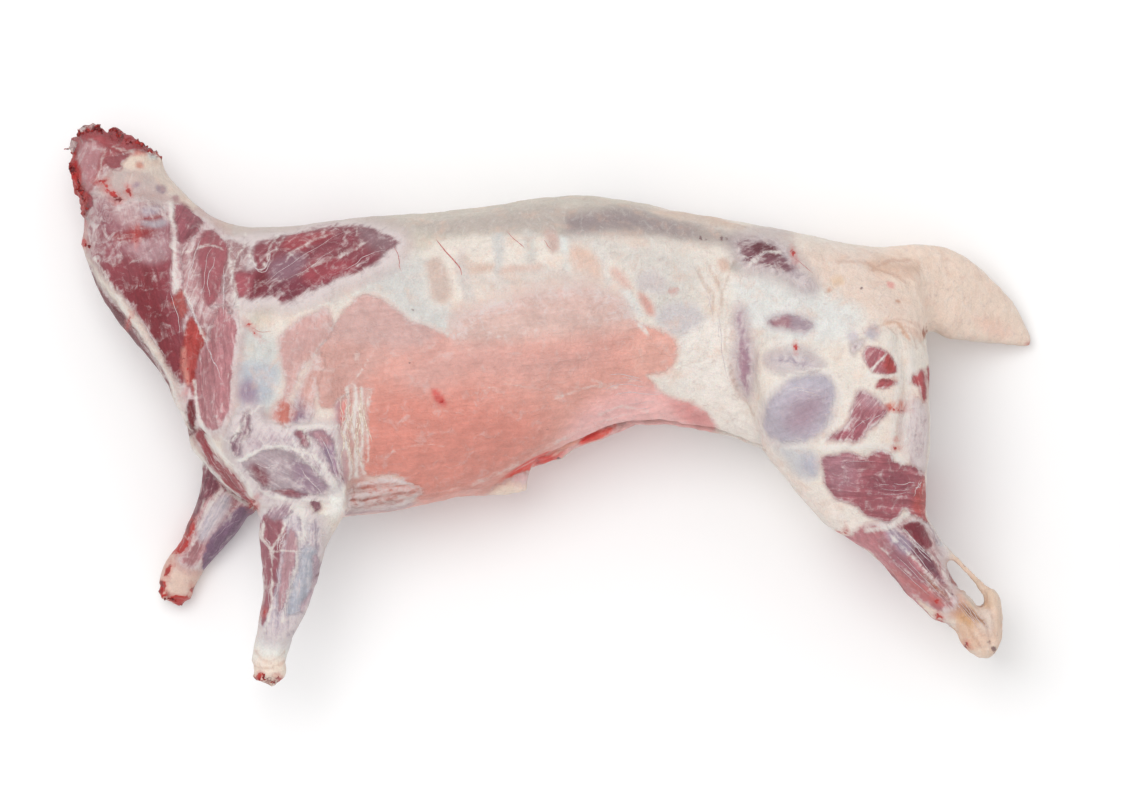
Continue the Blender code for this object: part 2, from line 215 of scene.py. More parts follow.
# Bare flesh that shows through the fat: colour, edge softness in pixels, share of white veil,
# height of its swell in millimetres, direction of its fibres in degrees, outline.
FLESH = (
    Patch("neck_under", "b78b8f", 5.0, 0.55, 0.0, 95, (
        (84, 198), (120, 196), (168, 204), (200, 214), (226, 232), (256, 240), (258, 268), (240, 300),
        (240, 330), (234, 370), (232, 410), (220, 434), (200, 432), (186, 410), (176, 380), (150, 335),
        (120, 290), (92, 250))),
    Patch("stump_under", "a15a5d", 3.0, 0.4, 0.0, 60, (
        (66, 135), (92, 128), (120, 136), (140, 146), (118, 160), (106, 175), (98, 190), (84, 200),
        (72, 180), (66, 158))),
    Patch("arm_under", "b8a4ab", 6.0, 0.62, 0.0, 60, (
        (228, 425), (250, 405), (266, 420), (300, 424), (340, 428), (344, 468), (334, 488), (318, 500),
        (290, 508), (262, 506), (244, 480), (230, 455))),
    Patch("forearm_under", "b8a8b3", 4.0, 0.6, 0.0, 88, (
        (260, 512), (300, 508), (322, 525), (322, 575), (306, 615), (290, 640), (262, 636), (264, 600),
        (260, 550))),
    Patch("far_fore_under", "b67f83", 3.5, 0.5, 0.0, 60, (
        (206, 465), (232, 490), (252, 508), (236, 530), (212, 556), (200, 570), (178, 562), (184, 535),
        (196, 505))),
    Patch("seat_under", "bda2a7", 6.0, 0.68, 0.0, 85, (
        (908, 404), (922, 402), (929, 420), (929, 464), (914, 466), (908, 445), (905, 424))),
    Patch("seat_wisps", "a08a8e", 1.6, 0.66, 0.0, 60, (
        (850, 346), (857, 341), (864, 340), (860, 347), (853, 354))),
    Patch("heel_cord", "958794", 2.0, 0.3, 0.0, -60, (
        (923, 512), (929, 512), (935, 526), (941, 540), (936, 543), (931, 533), (926, 522))),
    Patch("shank_under", "bc8d8e", 4.0, 0.5, 0.0, -48, (
        (862, 533), (890, 522), (925, 520), (938, 545), (952, 580), (958, 605), (942, 612), (915, 592),
        (885, 568))),
    # Grey-lilac flesh under the fascia below the rump, darkened with painted shadow.
    Patch("rump_under_shadow", "a08d93", 6.0, 0.4, 0.0, 30, (
        (735, 240), (760, 236), (785, 244), (797, 262), (808, 276), (814, 288), (802, 288), (786, 278),
        (765, 272), (742, 266))),
    Patch("withers_under", "b7a3a5", 7.0, 0.62, 0.0, 35, (
        (226, 238), (262, 232), (300, 226), (350, 220), (400, 232), (404, 252), (384, 268), (340, 288),
        (300, 308), (268, 306), (236, 306), (222, 280))),
    Patch("withers_front", "a0787a", 4.0, 0.42, 0.4, 60, (
        (226, 240), (240, 242), (252, 250), (248, 264), (240, 280), (238, 300), (231, 314), (225, 300),
        (224, 270))),
    Patch("neck_side", "8f454e", 2.0, 0.24, 0.8, 105, (
        (84, 200), (98, 195), (125, 203), (150, 203), (166, 213), (170, 250), (171, 285), (176, 300),
        (182, 330), (185, 362), (181, 384), (171, 372), (158, 348), (143, 325), (126, 300), (109, 280),
        (95, 262), (86, 240))),
    Patch("neck_upper", "a16e76", 9.0, 0.4, 0.0, 105, (
        (84, 202), (98, 196), (125, 201), (150, 202), (167, 213), (169, 242), (158, 258), (140, 264),
        (120, 264), (100, 258), (88, 240))),
    Patch("throat_edge", "712d35", 1.5, 0.2, 0.0, 125, (
        (80, 258), (90, 285), (108, 312), (125, 335), (145, 362), (160, 385), (172, 397), (166, 377),
        (151, 353), (135, 329), (117, 306), (100, 284), (91, 264))),
    Patch("neck_triangle", "94545d", 1.2, 0.15, 0.6, 60, (
        (174, 205), (183, 204), (192, 210), (201, 221), (200, 229), (192, 237), (181, 243), (176, 228))),
    Patch("neck_fan", "ae7e81", 2.0, 0.5, 0.5, 68, (
        (182, 245), (198, 240), (200, 265), (203, 290), (210, 308), (222, 305), (232, 320), (236, 345),
        (225, 350), (205, 335), (195, 318), (186, 300), (183, 270))),
    Patch("neck_deep", "9b575e", 1.6, 0.15, 0.7, 75, (
        (203, 233), (214, 231), (225, 243), (228, 255), (225, 272), (221, 288), (216, 300), (208, 306),
        (203, 292), (201, 272), (198, 250))),
    Patch("red_upper", "aa534f", 1.0, 0.05, 0.5, 75, (
        (173, 300), (180, 290), (184, 292), (186, 303), (188, 310), (181, 319), (177, 309), (170, 305))),
    Patch("red_long", "a93e3a", 1.2, 0.1, 0.6, 85, (
        (190, 318), (197, 325), (205, 336), (203, 346), (198, 356), (196, 372), (199, 398), (194, 396),
        (189, 380), (184, 366), (182, 350), (184, 332))),
    # Painted highlight: a light salmon stripe along the left edge of the red muscle.
    Patch("red_edge_highlight", "ecae9e", 1.0, 0.1, 0.2, 85, (
        (181, 349), (184, 346), (187, 360), (189, 380), (186, 383), (182, 368))),
    Patch("shoulder_strap", "b3797e", 1.6, 0.3, 1.0, 95, (
        (207, 345), (211, 330), (220, 307), (228, 312), (237, 325), (236, 342), (232, 358), (231, 388),
        (227, 410), (219, 427), (208, 430), (200, 412), (195, 392), (197, 368), (201, 352))),
    Patch("chest_triangle", "71272d", 1.0, 0.1, 0.5, 80, (
        (186, 411), (191, 399), (195, 412), (194, 428), (191, 435), (187, 422))),
    Patch("chest_strip", "973d44", 1.2, 0.25, 0.6, -50, (
        (194, 434), (201, 428), (208, 438), (215, 452), (224, 463), (237, 474), (244, 484), (251, 497),
        (256, 508), (247, 504), (234, 494), (225, 488), (216, 474), (207, 461), (200, 448))),
    Patch("withers", "8a464f", 3.2, 0.36, 0.9, 35, (
        (257, 243), (280, 236), (294, 233), (316, 228), (341, 224), (359, 227), (382, 232), (396, 240),
        (395, 247), (383, 254), (375, 262), (359, 272), (341, 279), (316, 288), (294, 297), (280, 304),
        (269, 295), (251, 300), (239, 295), (234, 281), (237, 272), (255, 268), (251, 254))),
    Patch("sheet_fade", "db9e92", 7.0, 0.3, 0.4, 8, (
        (448, 350), (454, 330), (462, 314), (482, 306), (510, 298), (540, 291), (576, 286), (604, 290),
        (622, 300), (634, 320), (636, 345), (560, 352), (500, 356))),
    Patch("salmon_sheet", "dca195", 1.6, 0.1, 0.8, 8, (
        (330, 330), (337, 320), (346, 309), (357, 298), (369, 295), (382, 299), (398, 311), (412, 321),
        (431, 328), (441, 333), (452, 338), (480, 342), (520, 336), (560, 332), (596, 330), (618, 326),
        (630, 318), (639, 323), (653, 328),
        (669, 335), (676, 345), (675, 359), (667, 370), (657, 374), (647, 375), (653, 383), (658, 392),
        (672, 398), (690, 402), (705, 412), (716, 430), (700, 436), (660, 434), (622, 434), (600, 440),
        (575, 452), (555, 458), (530, 468), (495, 488), (460, 500), (425, 506), (413, 494), (401, 478),
        (380, 476), (366, 474), (365, 455), (369, 429), (368, 406), (369, 390), (356, 389), (350, 393),
        (338, 399), (334, 407), (324, 408), (318, 402), (318, 392), (312, 380), (313, 366), (316, 352),
        (322, 343))),
    Patch("salmon_left", "caa09b", 1.8, 0.3, 0.5, 80, (
        (279, 342), (283, 335), (290, 327), (300, 319), (310, 314), (320, 311), (328, 309), (331, 316),
        (334, 324), (330, 335), (322, 345), (318, 350), (312, 356), (304, 366), (298, 378), (292, 392),
        (287, 400), (293, 404), (292, 415), (297, 424), (284, 426), (273, 422), (271, 413), (277, 404),
        (284, 395), (286, 378), (281, 360))),
    Patch("shoulder_lilac", "94798a", 3.0, 0.4, 0.4, 80, (
        (295, 400), (303, 380), (312, 360), (320, 352), (325, 365), (318, 385), (316, 400), (310, 420),
        (300, 424), (288, 424), (290, 408))),
    Patch("armpit_streak", "d5817d", 1.2, 0.2, 0.0, 80, (
        (345, 397), (351, 401), (349, 412), (346, 424), (342, 424), (341, 410))),
    Patch("arm_violet", "ae9ba0", 2.2, 0.4, 0.8, -30, (
        (256, 454), (270, 450), (278, 448), (292, 454), (306, 462), (319, 473), (327, 485), (330, 493),
        (320, 496), (302, 492), (278, 490), (270, 490), (259, 482), (247, 471), (244, 463))),
    Patch("elbow_slit", "955b63", 1.0, 0.1, -0.8, 0, (
        (271, 492), (281, 490), (292, 490), (302, 493), (308, 494), (301, 497), (287, 497), (277, 494))),
    Patch("elbow_oval", "885d65", 1.2, 0.1, -0.6, 60, (
        (310, 501), (316, 499), (320, 503), (321, 508), (317, 511), (312, 507))),
    Patch("arm_strip_front", "98656e", 1.3, 0.2, 0.3, 100, (
        (294, 433), (303, 431), (308, 440), (308, 448), (302, 447), (298, 440))),
    Patch("arm_strip_rear", "9c869b", 1.6, 0.3, 0.4, 110, (
        (309, 434), (320, 431), (327, 434), (334, 445), (337, 457), (343, 469), (345, 482), (338, 481),
        (329, 462), (322, 448), (315, 440))),
    Patch("brisket", "94655f", 2.2, 0.62, 0.5, 12, (
        (350, 490), (366, 482), (388, 478), (410, 482), (424, 490), (410, 502), (380, 511), (362, 514),
        (350, 511))),
    Patch("belly_edge", "eccec5", 1.6, 0.2, 0.0, 15, (
        (348, 512), (380, 510), (410, 503), (440, 496), (470, 488), (492, 484), (488, 494), (450, 506),
        (400, 517), (346, 524))),
    Patch("far_fore_top", "7f4652", 1.2, 0.15, 0.4, 75, (
        (205, 463), (210, 469), (219, 484), (218, 490), (207, 501), (199, 512), (188, 530), (186, 520),
        (197, 497), (202, 480))),
    Patch("far_fore_back", "84667c", 1.2, 0.15, 0.5, 60, (
        (240, 507), (256, 509), (252, 522), (236, 540), (220, 556), (204, 570), (203, 556), (208, 542),
        (220, 526), (230, 514))),
    Patch("forearm_front", "975c65", 1.3, 0.25, 0.8, 88, (
        (262, 518), (270, 512), (280, 516), (287, 530), (283, 545), (280, 565), (275, 590), (270, 612),
        (263, 628), (261, 610), (264, 585), (262, 560), (258, 540))),
    Patch("forearm_middle", "b48c92", 1.2, 0.2, 0.7, 85, (
        (285, 545), (290, 530), (296, 536), (298, 550), (293, 570), (288, 592), (281, 612), (278, 600),
        (281, 575))),
    Patch("forearm_blue", "b0b0ba", 3.4, 0.42, 0.8, 84, (
        (300, 550), (308, 545), (315, 550), (317, 566), (313, 586), (306, 604), (296, 614), (286, 614),
        (289, 598), (295, 578), (299, 562))),
    Patch("forearm_heel", "b79fa8", 2.0, 0.35, 0.4, 70, (
        (313, 556), (320, 560), (320, 574), (314, 594), (304, 612), (300, 608), (309, 592), (314, 574))),
    Patch("fascia_line_a", "93717b", 2.6, 0.35, 0.3, 80, (
        (241, 421), (249, 410), (251, 423), (247, 436), (240, 439))),
    Patch("fascia_line_b", "8d6c78", 2.6, 0.35, 0.3, 80, (
        (231, 438), (239, 433), (241, 447), (236, 458), (231, 449))),
    Patch("shoulder_end", "ad909a", 2.0, 0.4, 0.3, 60, (
        (268, 509), (282, 504), (294, 505), (292, 514), (282, 520), (270, 518))),
    Patch("rump_dark", "7f545d", 4.0, 0.4, 0.5, 30, (
        (737, 242), (748, 239), (765, 243), (778, 247), (785, 259), (793, 268), (783, 272), (767, 268),
        (752, 267), (742, 257))),
    Patch("loin_lens", "a8949d", 2.2, 0.1, 0.6, 5, (
        (769, 320), (783, 315), (803, 317), (813, 323), (803, 332), (788, 329), (772, 326))),
    Patch("flank_tall", "ab919b", 3.2, 0.35, 0.7, 85, (
        (737, 310), (743, 310), (748, 333), (753, 354), (752, 374), (747, 397), (740, 387), (735, 364),
        (738, 338), (735, 323))),
    Patch("thigh_haze", "968697", 6.5, 0.5, 0.5, 0, (
        (770, 359), (788, 354), (803, 355), (818, 366), (813, 371), (793, 369), (778, 366))),
    Patch("thigh_oval", "b7afb9", 2.8, 0.1, 2.6, 20, (
        (764, 430), (766, 408), (775, 392), (792, 380), (812, 375), (828, 378), (834, 392), (831, 415),
        (822, 430), (808, 440), (788, 443), (771, 439))),
    Patch("seat_upper", "a7646b", 1.0, 0.15, 0.7, 60, (
        (864, 350), (872, 346), (885, 351), (893, 358), (896, 366), (895, 373), (884, 374), (872, 372),
        (865, 363))),
    Patch("seat_lower", "a75357", 1.0, 0.15, 0.5, 10, (
        (876, 387), (882, 379), (895, 380), (895, 384), (885, 388))),
    Patch("seat_triangle", "a54f52", 1.2, 0.15, 0.4, 100, (
        (910, 382), (917, 372), (924, 372), (927, 384), (926, 402), (920, 394), (918, 387))),
    Patch("thigh_wedge", "a3656e", 1.6, 0.35, 1.0, 55, (
        (826, 437), (838, 432), (847, 423), (853, 402), (859, 391), (873, 395), (882, 405), (889, 408),
        (884, 417), (875, 426), (866, 433), (861, 439), (855, 442), (841, 441))),
    Patch("thigh_dark", "a25d65", 1.2, 0.28, 2.0, -4, (
        (822, 457), (838, 454), (852, 453), (866, 458), (875, 451), (880, 449), (891, 453), (893, 460),
        (898, 463), (908, 466), (918, 467), (924, 472), (930, 482), (932, 500), (930, 522), (914, 516),
        (905, 509), (901, 511), (894, 520), (883, 523), (875, 520), (863, 513), (855, 506), (841, 500),
        (833, 497), (827, 486), (823, 472))),
    Patch("thigh_small", "bab8c1", 3.0, 0.2, 0.6, 70, (
        (802, 461), (807, 457), (815, 458), (816, 472), (810, 476), (803, 469))),
    Patch("shank_pink", "bd7d82", 1.6, 0.12, 1.0, -48, (
        (852, 536), (862, 529), (878, 527), (890, 534), (896, 545), (905, 552), (914, 558), (922, 568),
        (926, 577), (924, 584), (930, 592), (938, 600), (944, 607), (938, 612), (930, 607), (920, 600),
        (910, 594), (898, 586), (884, 573), (868, 558), (854, 544))),
    Patch("shank_long", "834f5b", 1.0, 0.2, 0.8, -48, (
        (900, 538), (908, 540), (914, 541), (922, 547), (929, 554), (936, 566), (942, 577), (948, 585),
        (941, 582), (933, 576), (926, 569), (917, 560), (908, 551), (899, 545))),
    Patch("shank_top", "833842", 1.0, 0.1, 0.7, -65, (
        (904, 526), (914, 523), (923, 526), (929, 536), (932, 545), (928, 548), (921, 545), (913, 537))),
    Patch("shank_thin", "ac7766", 1.0, 0.2, 0.3, -46, (
        (920, 571), (928, 577), (938, 586), (946, 595), (950, 603), (945, 597), (936, 590), (927, 583))),
    Patch("stump_side", "ae7a7e", 2.0, 0.35, 0.3, 70, (
        (80, 145), (92, 140), (102, 150), (98, 165), (94, 180), (86, 193), (78, 186), (76, 165))),
    Patch("stump_top", "9f4e52", 1.2, 0.2, 0.0, 0, (
        (76, 130), (90, 133), (100, 124), (110, 122), (124, 134), (145, 140), (164, 148), (160, 153),
        (142, 150), (124, 152), (110, 150), (98, 143), (84, 140))),
    Patch("stump_pocket", "935055", 1.2, 0.1, -1.5, 0, (
        (104, 160), (112, 157), (125, 154), (130, 156), (121, 163), (122, 168), (112, 168))),
    Patch("stump_edge", "a72526", 1.5, 0.05, 0.0, 90, (
        (64, 158), (72, 150), (78, 158), (82, 175), (84, 190), (92, 198), (88, 212), (80, 222),
        (78, 200), (72, 186), (66, 174))),
    Patch("cut_front", "ec4a3e", 1.0, 0.05, 0.2, 20, (
        (495, 479), (510, 470), (530, 461), (550, 452), (566, 447), (573, 450), (562, 457), (548, 463),
        (532, 470), (514, 477))),
    Patch("cut_rear", "f06a5e", 1.0, 0.0, 0.2, 25, (
        (576, 444), (588, 436), (604, 429), (622, 424), (618, 431), (606, 437), (592, 443), (580, 447))),
    Patch("flap_lilac", "ead9da", 2.0, 0.2, 0.0, 80, (
        (512, 480), (520, 474), (531, 473), (530, 482), (520, 484))),
)

# How much the fibres show, where it isn't fully.
THREADS = {
    "neck_side": 0.55, "neck_upper": 0.3, "neck_under": 0.5, "neck_deep": 0.6, "neck_fan": 0.75,
    "withers": 0.48, "withers_front": 0.5, "withers_under": 0.6, "rump_dark": 0.6, "rump_under_shadow": 0.15,
    "salmon_sheet": 0.2, "sheet_fade": 0.2, "salmon_left": 0.25, "belly_edge": 0.2, "brisket": 0.8,
    "shoulder_lilac": 0.3, "arm_violet": 0.45, "arm_under": 0.5, "forearm_front": 0.6,
    "forearm_middle": 0.6, "forearm_blue": 0.7, "thigh_oval": 0.25, "thigh_haze": 0.2, "thigh_small": 0.2,
    "thigh_dark": 0.85, "flank_tall": 0.3, "loin_lens": 0.4, "seat_wisps": 0.3, "shank_pink": 0.55,
    "red_edge_highlight": 0.4, "red_upper": 0.6, "red_long": 0.7, "flap_lilac": 0.3, "stump_side": 0.15,
    "stump_under": 0.2, "stump_edge": 0.4, "stump_top": 0.4, "stump_pocket": 0.4, "cut_front": 0.3,
    "cut_rear": 0.3,
}

# White bands of fascia over the flesh: half width in pixels, strength, route.
BANDS = (
    (4.2, 0.85, ((171, 204), (173, 228), (174, 258), (178, 290))),
    (2.2, 0.85, ((97, 258), (115, 290), (132, 320), (150, 350), (165, 372), (177, 395), (186, 420))),
    (1.6, 0.9, ((184, 291), (191, 306), (201, 334), (206, 342))),
    (3.2, 0.7, ((230, 250), (232, 268), (236, 290), (241, 318), (240, 335))),
    (1.8, 0.8, ((249, 256), (259, 271), (266, 264), (271, 247), (279, 234))),
    (2.0, 0.6, ((286, 262), (301, 247), (320, 239), (325, 228))),
    (1.8, 0.6, ((358, 226), (356, 238), (351, 250))),
    (2.4, 0.55, ((300, 276), (324, 262), (347, 254), (364, 243))),
    (2.2, 1.0, ((194, 379), (196, 400), (199, 417), (212, 443), (226, 458), (245, 477), (257, 506))),
    (2.0, 1.0, ((189, 440), (200, 455), (218, 477), (238, 498), (254, 508))),
    (2.6, 0.9, ((222, 489), (207, 511), (199, 528))),
    (3.0, 1.0, ((238, 460), (254, 452), (271, 447), (301, 451), (324, 466), (340, 494))),
    (2.0, 0.8, ((286, 428), (301, 455), (324, 477))),
    (2.0, 0.9, ((304, 430), (318, 458), (336, 494))),
    (3.0, 0.9, ((300, 428), (320, 426), (340, 428))),
    (2.4, 0.8, ((339, 426), (336, 455), (345, 488))),
    (2.6, 0.7, ((220, 437), (232, 440), (244, 420), (262, 404))),
    (2.4, 0.8, ((258, 486), (272, 497), (300, 500), (330, 500))),
    (2.4, 0.8, ((764, 434), (759, 410), (770, 388), (792, 375), (815, 370), (833, 375), (841, 393),
                (838, 418), (826, 438), (808, 447), (784, 448))),
    (2.6, 0.9, ((866, 376), (882, 377), (902, 374))),
    (4.0, 0.9, ((822, 447), (850, 447), (875, 446), (893, 450), (902, 464))),
    (5.5, 0.8, ((890, 345), (900, 372), (896, 400), (892, 440), (898, 458))),
    (6.0, 0.7, ((912, 350), (908, 395), (905, 430), (906, 462))),
    (3.6, 0.9, ((908, 514), (897, 522), (882, 529), (866, 530))),
    (1.8, 0.8, ((902, 526), (914, 543), (931, 556), (948, 578))),
    (1.6, 0.8, ((892, 535), (917, 561), (930, 576), (948, 594))),
    (1.4, 0.7, ((880, 545), (905, 569), (924, 583), (943, 599))),
    (1.8, 0.9, ((264, 522), (263, 538), (271, 548), (273, 562), (271, 606), (266, 630))),
    (1.8, 0.9, ((291, 516), (280, 536), (273, 548))),
    (1.6, 0.8, ((275, 551), (297, 550), (308, 544))),
    (2.2, 0.9, ((299, 532), (297, 560), (290, 590), (282, 622))),
    (2.0, 0.8, ((748, 268), (757, 258), (768, 252), (780, 252))),
    (1.6, 0.7, ((744, 256), (757, 262), (775, 266))),
    (2.2, 0.7, ((205, 500), (196, 530), (186, 558))),
    (1.6, 1.0, ((868, 373), (877, 364), (887, 354))),
    (7.0, 0.9, ((296, 506), (304, 518), (306, 532), (300, 541))),
    (2.2, 0.6, ((268, 268), (276, 252), (284, 238))),
    (2.0, 0.6, ((288, 256), (308, 244), (332, 234))),
    (1.8, 0.5, ((270, 288), (300, 274), (336, 258), (362, 240))),
    (1.6, 0.7, ((246, 232), (244, 246), (236, 262), (231, 286))),
    (1.8, 0.7, ((186, 252), (204, 246), (222, 250))),
    (1.4, 0.7, ((336, 405), (356, 378), (375, 350))),
    (3.0, 0.7, ((357, 355), (357, 359))),
    (1.6, 0.8, ((878, 424), (888, 428), (892, 440))),
    (3.4, 0.8, ((624, 293), (632, 303), (638, 314))),
    (3.4, 0.9, ((640, 326), (646, 333))),
    (2.2, 0.55, ((556, 398), (575, 390), (600, 386), (630, 390))),
    (2.0, 0.5, ((592, 380), (612, 384), (636, 380))),
    (2.4, 0.6, ((598, 412), (620, 405), (648, 410))),
    (1.8, 0.5, ((470, 484), (510, 466), (550, 444), (590, 424), (630, 412))),
    (1.6, 0.45, ((500, 472), (540, 450), (580, 430))),
    (1.8, 0.45, ((440, 492), (480, 478), (520, 458))),
    (1.8, 0.4, ((400, 420), (440, 410), (470, 416))),
    (1.6, 0.45, ((392, 452), (420, 444), (452, 446))),
    (1.6, 0.45, ((470, 396), (500, 384), (530, 388))),
    (1.8, 0.45, ((480, 330), (505, 336), (536, 330))),
    (2.0, 0.5, ((782, 394), (800, 388), (824, 391))),
    (1.6, 0.45, ((788, 402), (808, 398), (828, 402))),
    (2.2, 1.0, ((347, 388), (349, 410), (347, 436), (352, 462), (352, 480))),
    (2.6, 1.0, ((354, 386), (356, 404), (353, 428), (357, 452), (357, 478))),
    (2.2, 0.95, ((362, 388), (360, 410), (363, 432), (361, 456), (364, 474))),
    (1.6, 0.8, ((368, 396), (366, 420), (369, 446), (367, 468))),
    (2.0, 0.7, ((106, 152), (102, 160), (100, 172), (98, 182))),
    (2.4, 0.6, ((112, 147), (124, 150), (134, 154))),
)

# Soft changes of colour inside the flesh.
FLESH_TINTS = (
    Tint("neck_oval", "99626a", 12, (
        (84, 205), (110, 198), (140, 206), (166, 222), (168, 245), (150, 262), (125, 266), (103, 260))),
    Tint("neck_left", "96545d", 9, ((88, 232), (108, 228), (120, 250), (122, 270), (104, 266), (94, 254))),
    Tint("neck_low", "7a2a32", 14, (
        (118, 268), (145, 262), (160, 278), (166, 305), (176, 332), (184, 362), (178, 384), (160, 362),
        (146, 337), (128, 305))),
    Tint("withers_low", "783542", 8, (
        (248, 292), (262, 284), (285, 280), (300, 276), (325, 268), (350, 262), (376, 256), (360, 271),
        (340, 279), (316, 288), (294, 300), (275, 300))),
    Tint("withers_top", "823b46", 7, (
        (285, 240), (310, 230), (345, 226), (372, 230), (360, 240), (330, 245), (305, 256), (290, 262))),
    Tint("withers_tail", "8b6a70", 8, (
        (360, 228), (384, 232), (397, 240), (388, 252), (372, 250), (362, 240))),
    Tint("withers_red_a", "a0424a", 5, (
        (284, 240), (298, 234), (316, 232), (334, 232), (322, 242), (300, 250), (286, 252))),
    Tint("withers_red_b", "9c4750", 6, (
        (303, 270), (325, 260), (345, 260), (358, 262), (350, 270), (330, 278), (308, 284))),
    Tint("withers_dark", "742b35", 4, ((255, 275), (264, 272), (268, 280), (262, 292), (253, 292))),
    Tint("withers_grey", "8d6571", 6, (
        (270, 264), (286, 256), (304, 256), (304, 268), (290, 280), (272, 280))),
    Tint("withers_left", "a85861", 5, ((236, 276), (248, 274), (252, 286), (246, 298), (238, 294))),
    Tint("rump_core", "682f3a", 4, ((757, 242), (773, 243), (781, 252), (768, 257), (753, 252))),
    Tint("sheet_corner", "caa49e", 14, (
        (318, 332), (332, 300), (355, 280), (385, 282), (415, 304), (442, 330), (425, 350), (380, 352),
        (340, 352))),
    Tint("sheet_orange", "cb9d94", 10, (
        (300, 362), (325, 344), (360, 343), (388, 350), (376, 374), (352, 398), (318, 416), (298, 396))),
    Tint("sheet_top", "d3b2a9", 16, (
        (452, 342), (462, 292), (515, 268), (570, 258), (622, 262), (650, 300), (648, 325), (600, 334),
        (550, 340), (500, 345), (470, 350))),
    Tint("sheet_low", "d48b7e", 30, (
        (358, 410), (400, 385), (440, 380), (500, 400), (545, 420), (530, 462), (480, 502), (420, 512),
        (356, 492))),
    Tint("sheet_rose", "d19f96", 18, (
        (395, 375), (430, 350), (480, 345), (540, 355), (590, 345), (600, 360), (540, 378), (480, 372),
        (430, 392))),
    Tint("sheet_lobe", "e1aa9d", 12, (
        (636, 332), (660, 325), (690, 340), (692, 368), (655, 380), (632, 368))),
    Tint("sheet_belly", "ecb7b3", 14, (
        (555, 470), (580, 412), (630, 388), (668, 392), (725, 414), (732, 452), (650, 452), (600, 462))),
    Tint("sheet_end", "d59390", 7, (
        (672, 402), (690, 402), (706, 414), (714, 428), (690, 424), (676, 412))),
    Tint("brisket_edge", "b8979b", 4, (
        (346, 512), (380, 508), (408, 502), (410, 507), (380, 513), (350, 519))),
    Tint("left_spot", "bf7367", 6, (
        (272, 405), (279, 400), (290, 403), (295, 412), (288, 424), (277, 425))),
    Tint("arm_core", "7d424c", 6, (
        (250, 468), (257, 464), (266, 471), (270, 480), (266, 487), (257, 482))),
    Tint("arm_rear", "9b808e", 8, (
        (294, 459), (303, 461), (315, 471), (326, 484), (330, 493), (318, 496), (300, 491), (293, 476))),
    Tint("strip_top", "b1858b", 6, (
        (309, 433), (320, 430), (328, 434), (331, 444), (322, 446))),
    Tint("lens_tip", "a2727b", 6, ((769, 320), (780, 316), (790, 318), (790, 328), (775, 327))),
    Tint("tall_core", "aa8693", 4, ((741, 340), (749, 355), (750, 380), (745, 394), (739, 378), (738, 355))),
    Tint("oval_core", "aa929e", 14, (
        (785, 425), (790, 405), (808, 395), (824, 398), (820, 418), (805, 432))),
    Tint("wedge_low", "9f5964", 8, ((828, 436), (845, 425), (858, 418), (862, 436), (848, 442))),
    Tint("wedge_high", "af888f", 7, ((858, 392), (872, 394), (884, 404), (890, 409), (876, 408), (864, 404))),
    Tint("dark_left", "a5737c", 10, ((820, 458), (845, 452), (858, 462), (855, 485), (835, 492), (824, 476))),
    Tint("dark_core", "97555f", 8, ((868, 480), (885, 470), (905, 478), (905, 490), (885, 494), (870, 492))),
    Tint("dark_right", "b55855", 5, ((912, 500), (922, 478), (932, 482), (934, 520), (916, 514))),
    Tint("shank_low", "b77271", 8, ((905, 565), (925, 580), (944, 606), (930, 604), (908, 586), (890, 572))),
    Tint("shank_lilac", "a793a2", 5, ((884, 527), (900, 530), (912, 546), (904, 556), (892, 545))),
    Tint("far_fore_pale", "c6bcc4", 5, (
        (206, 512), (222, 494), (232, 500), (222, 520), (206, 540), (198, 536))),
    Tint("shank_mauve", "a06a73", 6, (
        (880, 540), (894, 548), (912, 562), (926, 582), (914, 580), (896, 564))),
    Tint("neck_top_grey", "96696e", 6, (
        (120, 192), (150, 193), (166, 200), (164, 212), (140, 214), (122, 206))),
    Tint("neck_pale", "b38e90", 6, (
        (112, 200), (135, 198), (146, 212), (140, 228), (122, 226), (112, 214))),
    Tint("neck_blue", "a996a1", 3, ((143, 208), (158, 206), (160, 213), (146, 216))),
    Tint("neck_blue_low", "b0a2a9", 3, ((143, 221), (164, 219), (166, 226), (150, 228), (142, 226))),
    Tint("neck_mottle", "ac8489", 6, (
        (128, 242), (150, 240), (166, 236), (168, 256), (150, 262), (132, 254))),
    Tint("neck_core", "894048", 8, ((108, 262), (128, 258), (140, 266), (138, 280), (122, 284), (110, 276))),
    Tint("neck_lens", "933d42", 2, (
        (142, 219), (152, 215), (162, 214), (160, 218), (150, 221))),
    Tint("neck_bruise", "94393c", 5, (
        (112, 236), (125, 231), (136, 226), (150, 228), (156, 231), (147, 237), (136, 242), (120, 241))),
    Tint("cut_rear_red", "f2695d", 1.6, (
        (577, 444), (582, 437), (592, 431), (606, 427), (616, 424), (612, 430), (602, 438), (590, 443))),
    Tint("cut_rear_core", "de3b34", 1.4, ((580, 441), (588, 434), (598, 431), (596, 436), (586, 441))),
    Tint("cut_front_red", "dc4a40", 1.6, (
        (497, 480), (510, 471), (530, 460), (548, 452), (566, 446), (560, 453), (548, 462), (530, 468),
        (512, 476))),
    Tint("cut_pale", "e8a596", 2, ((552, 452), (566, 442), (578, 438), (576, 444), (566, 448), (556, 453))),
    Tint("seat_dark", "ac4845", 4, ((884, 355), (892, 358), (895, 370), (886, 372))),
    Tint("flank_bruise", "cb5c55", 2.2, (
        (431, 390), (437, 390), (445, 399), (446, 405), (440, 404), (433, 397))),
)
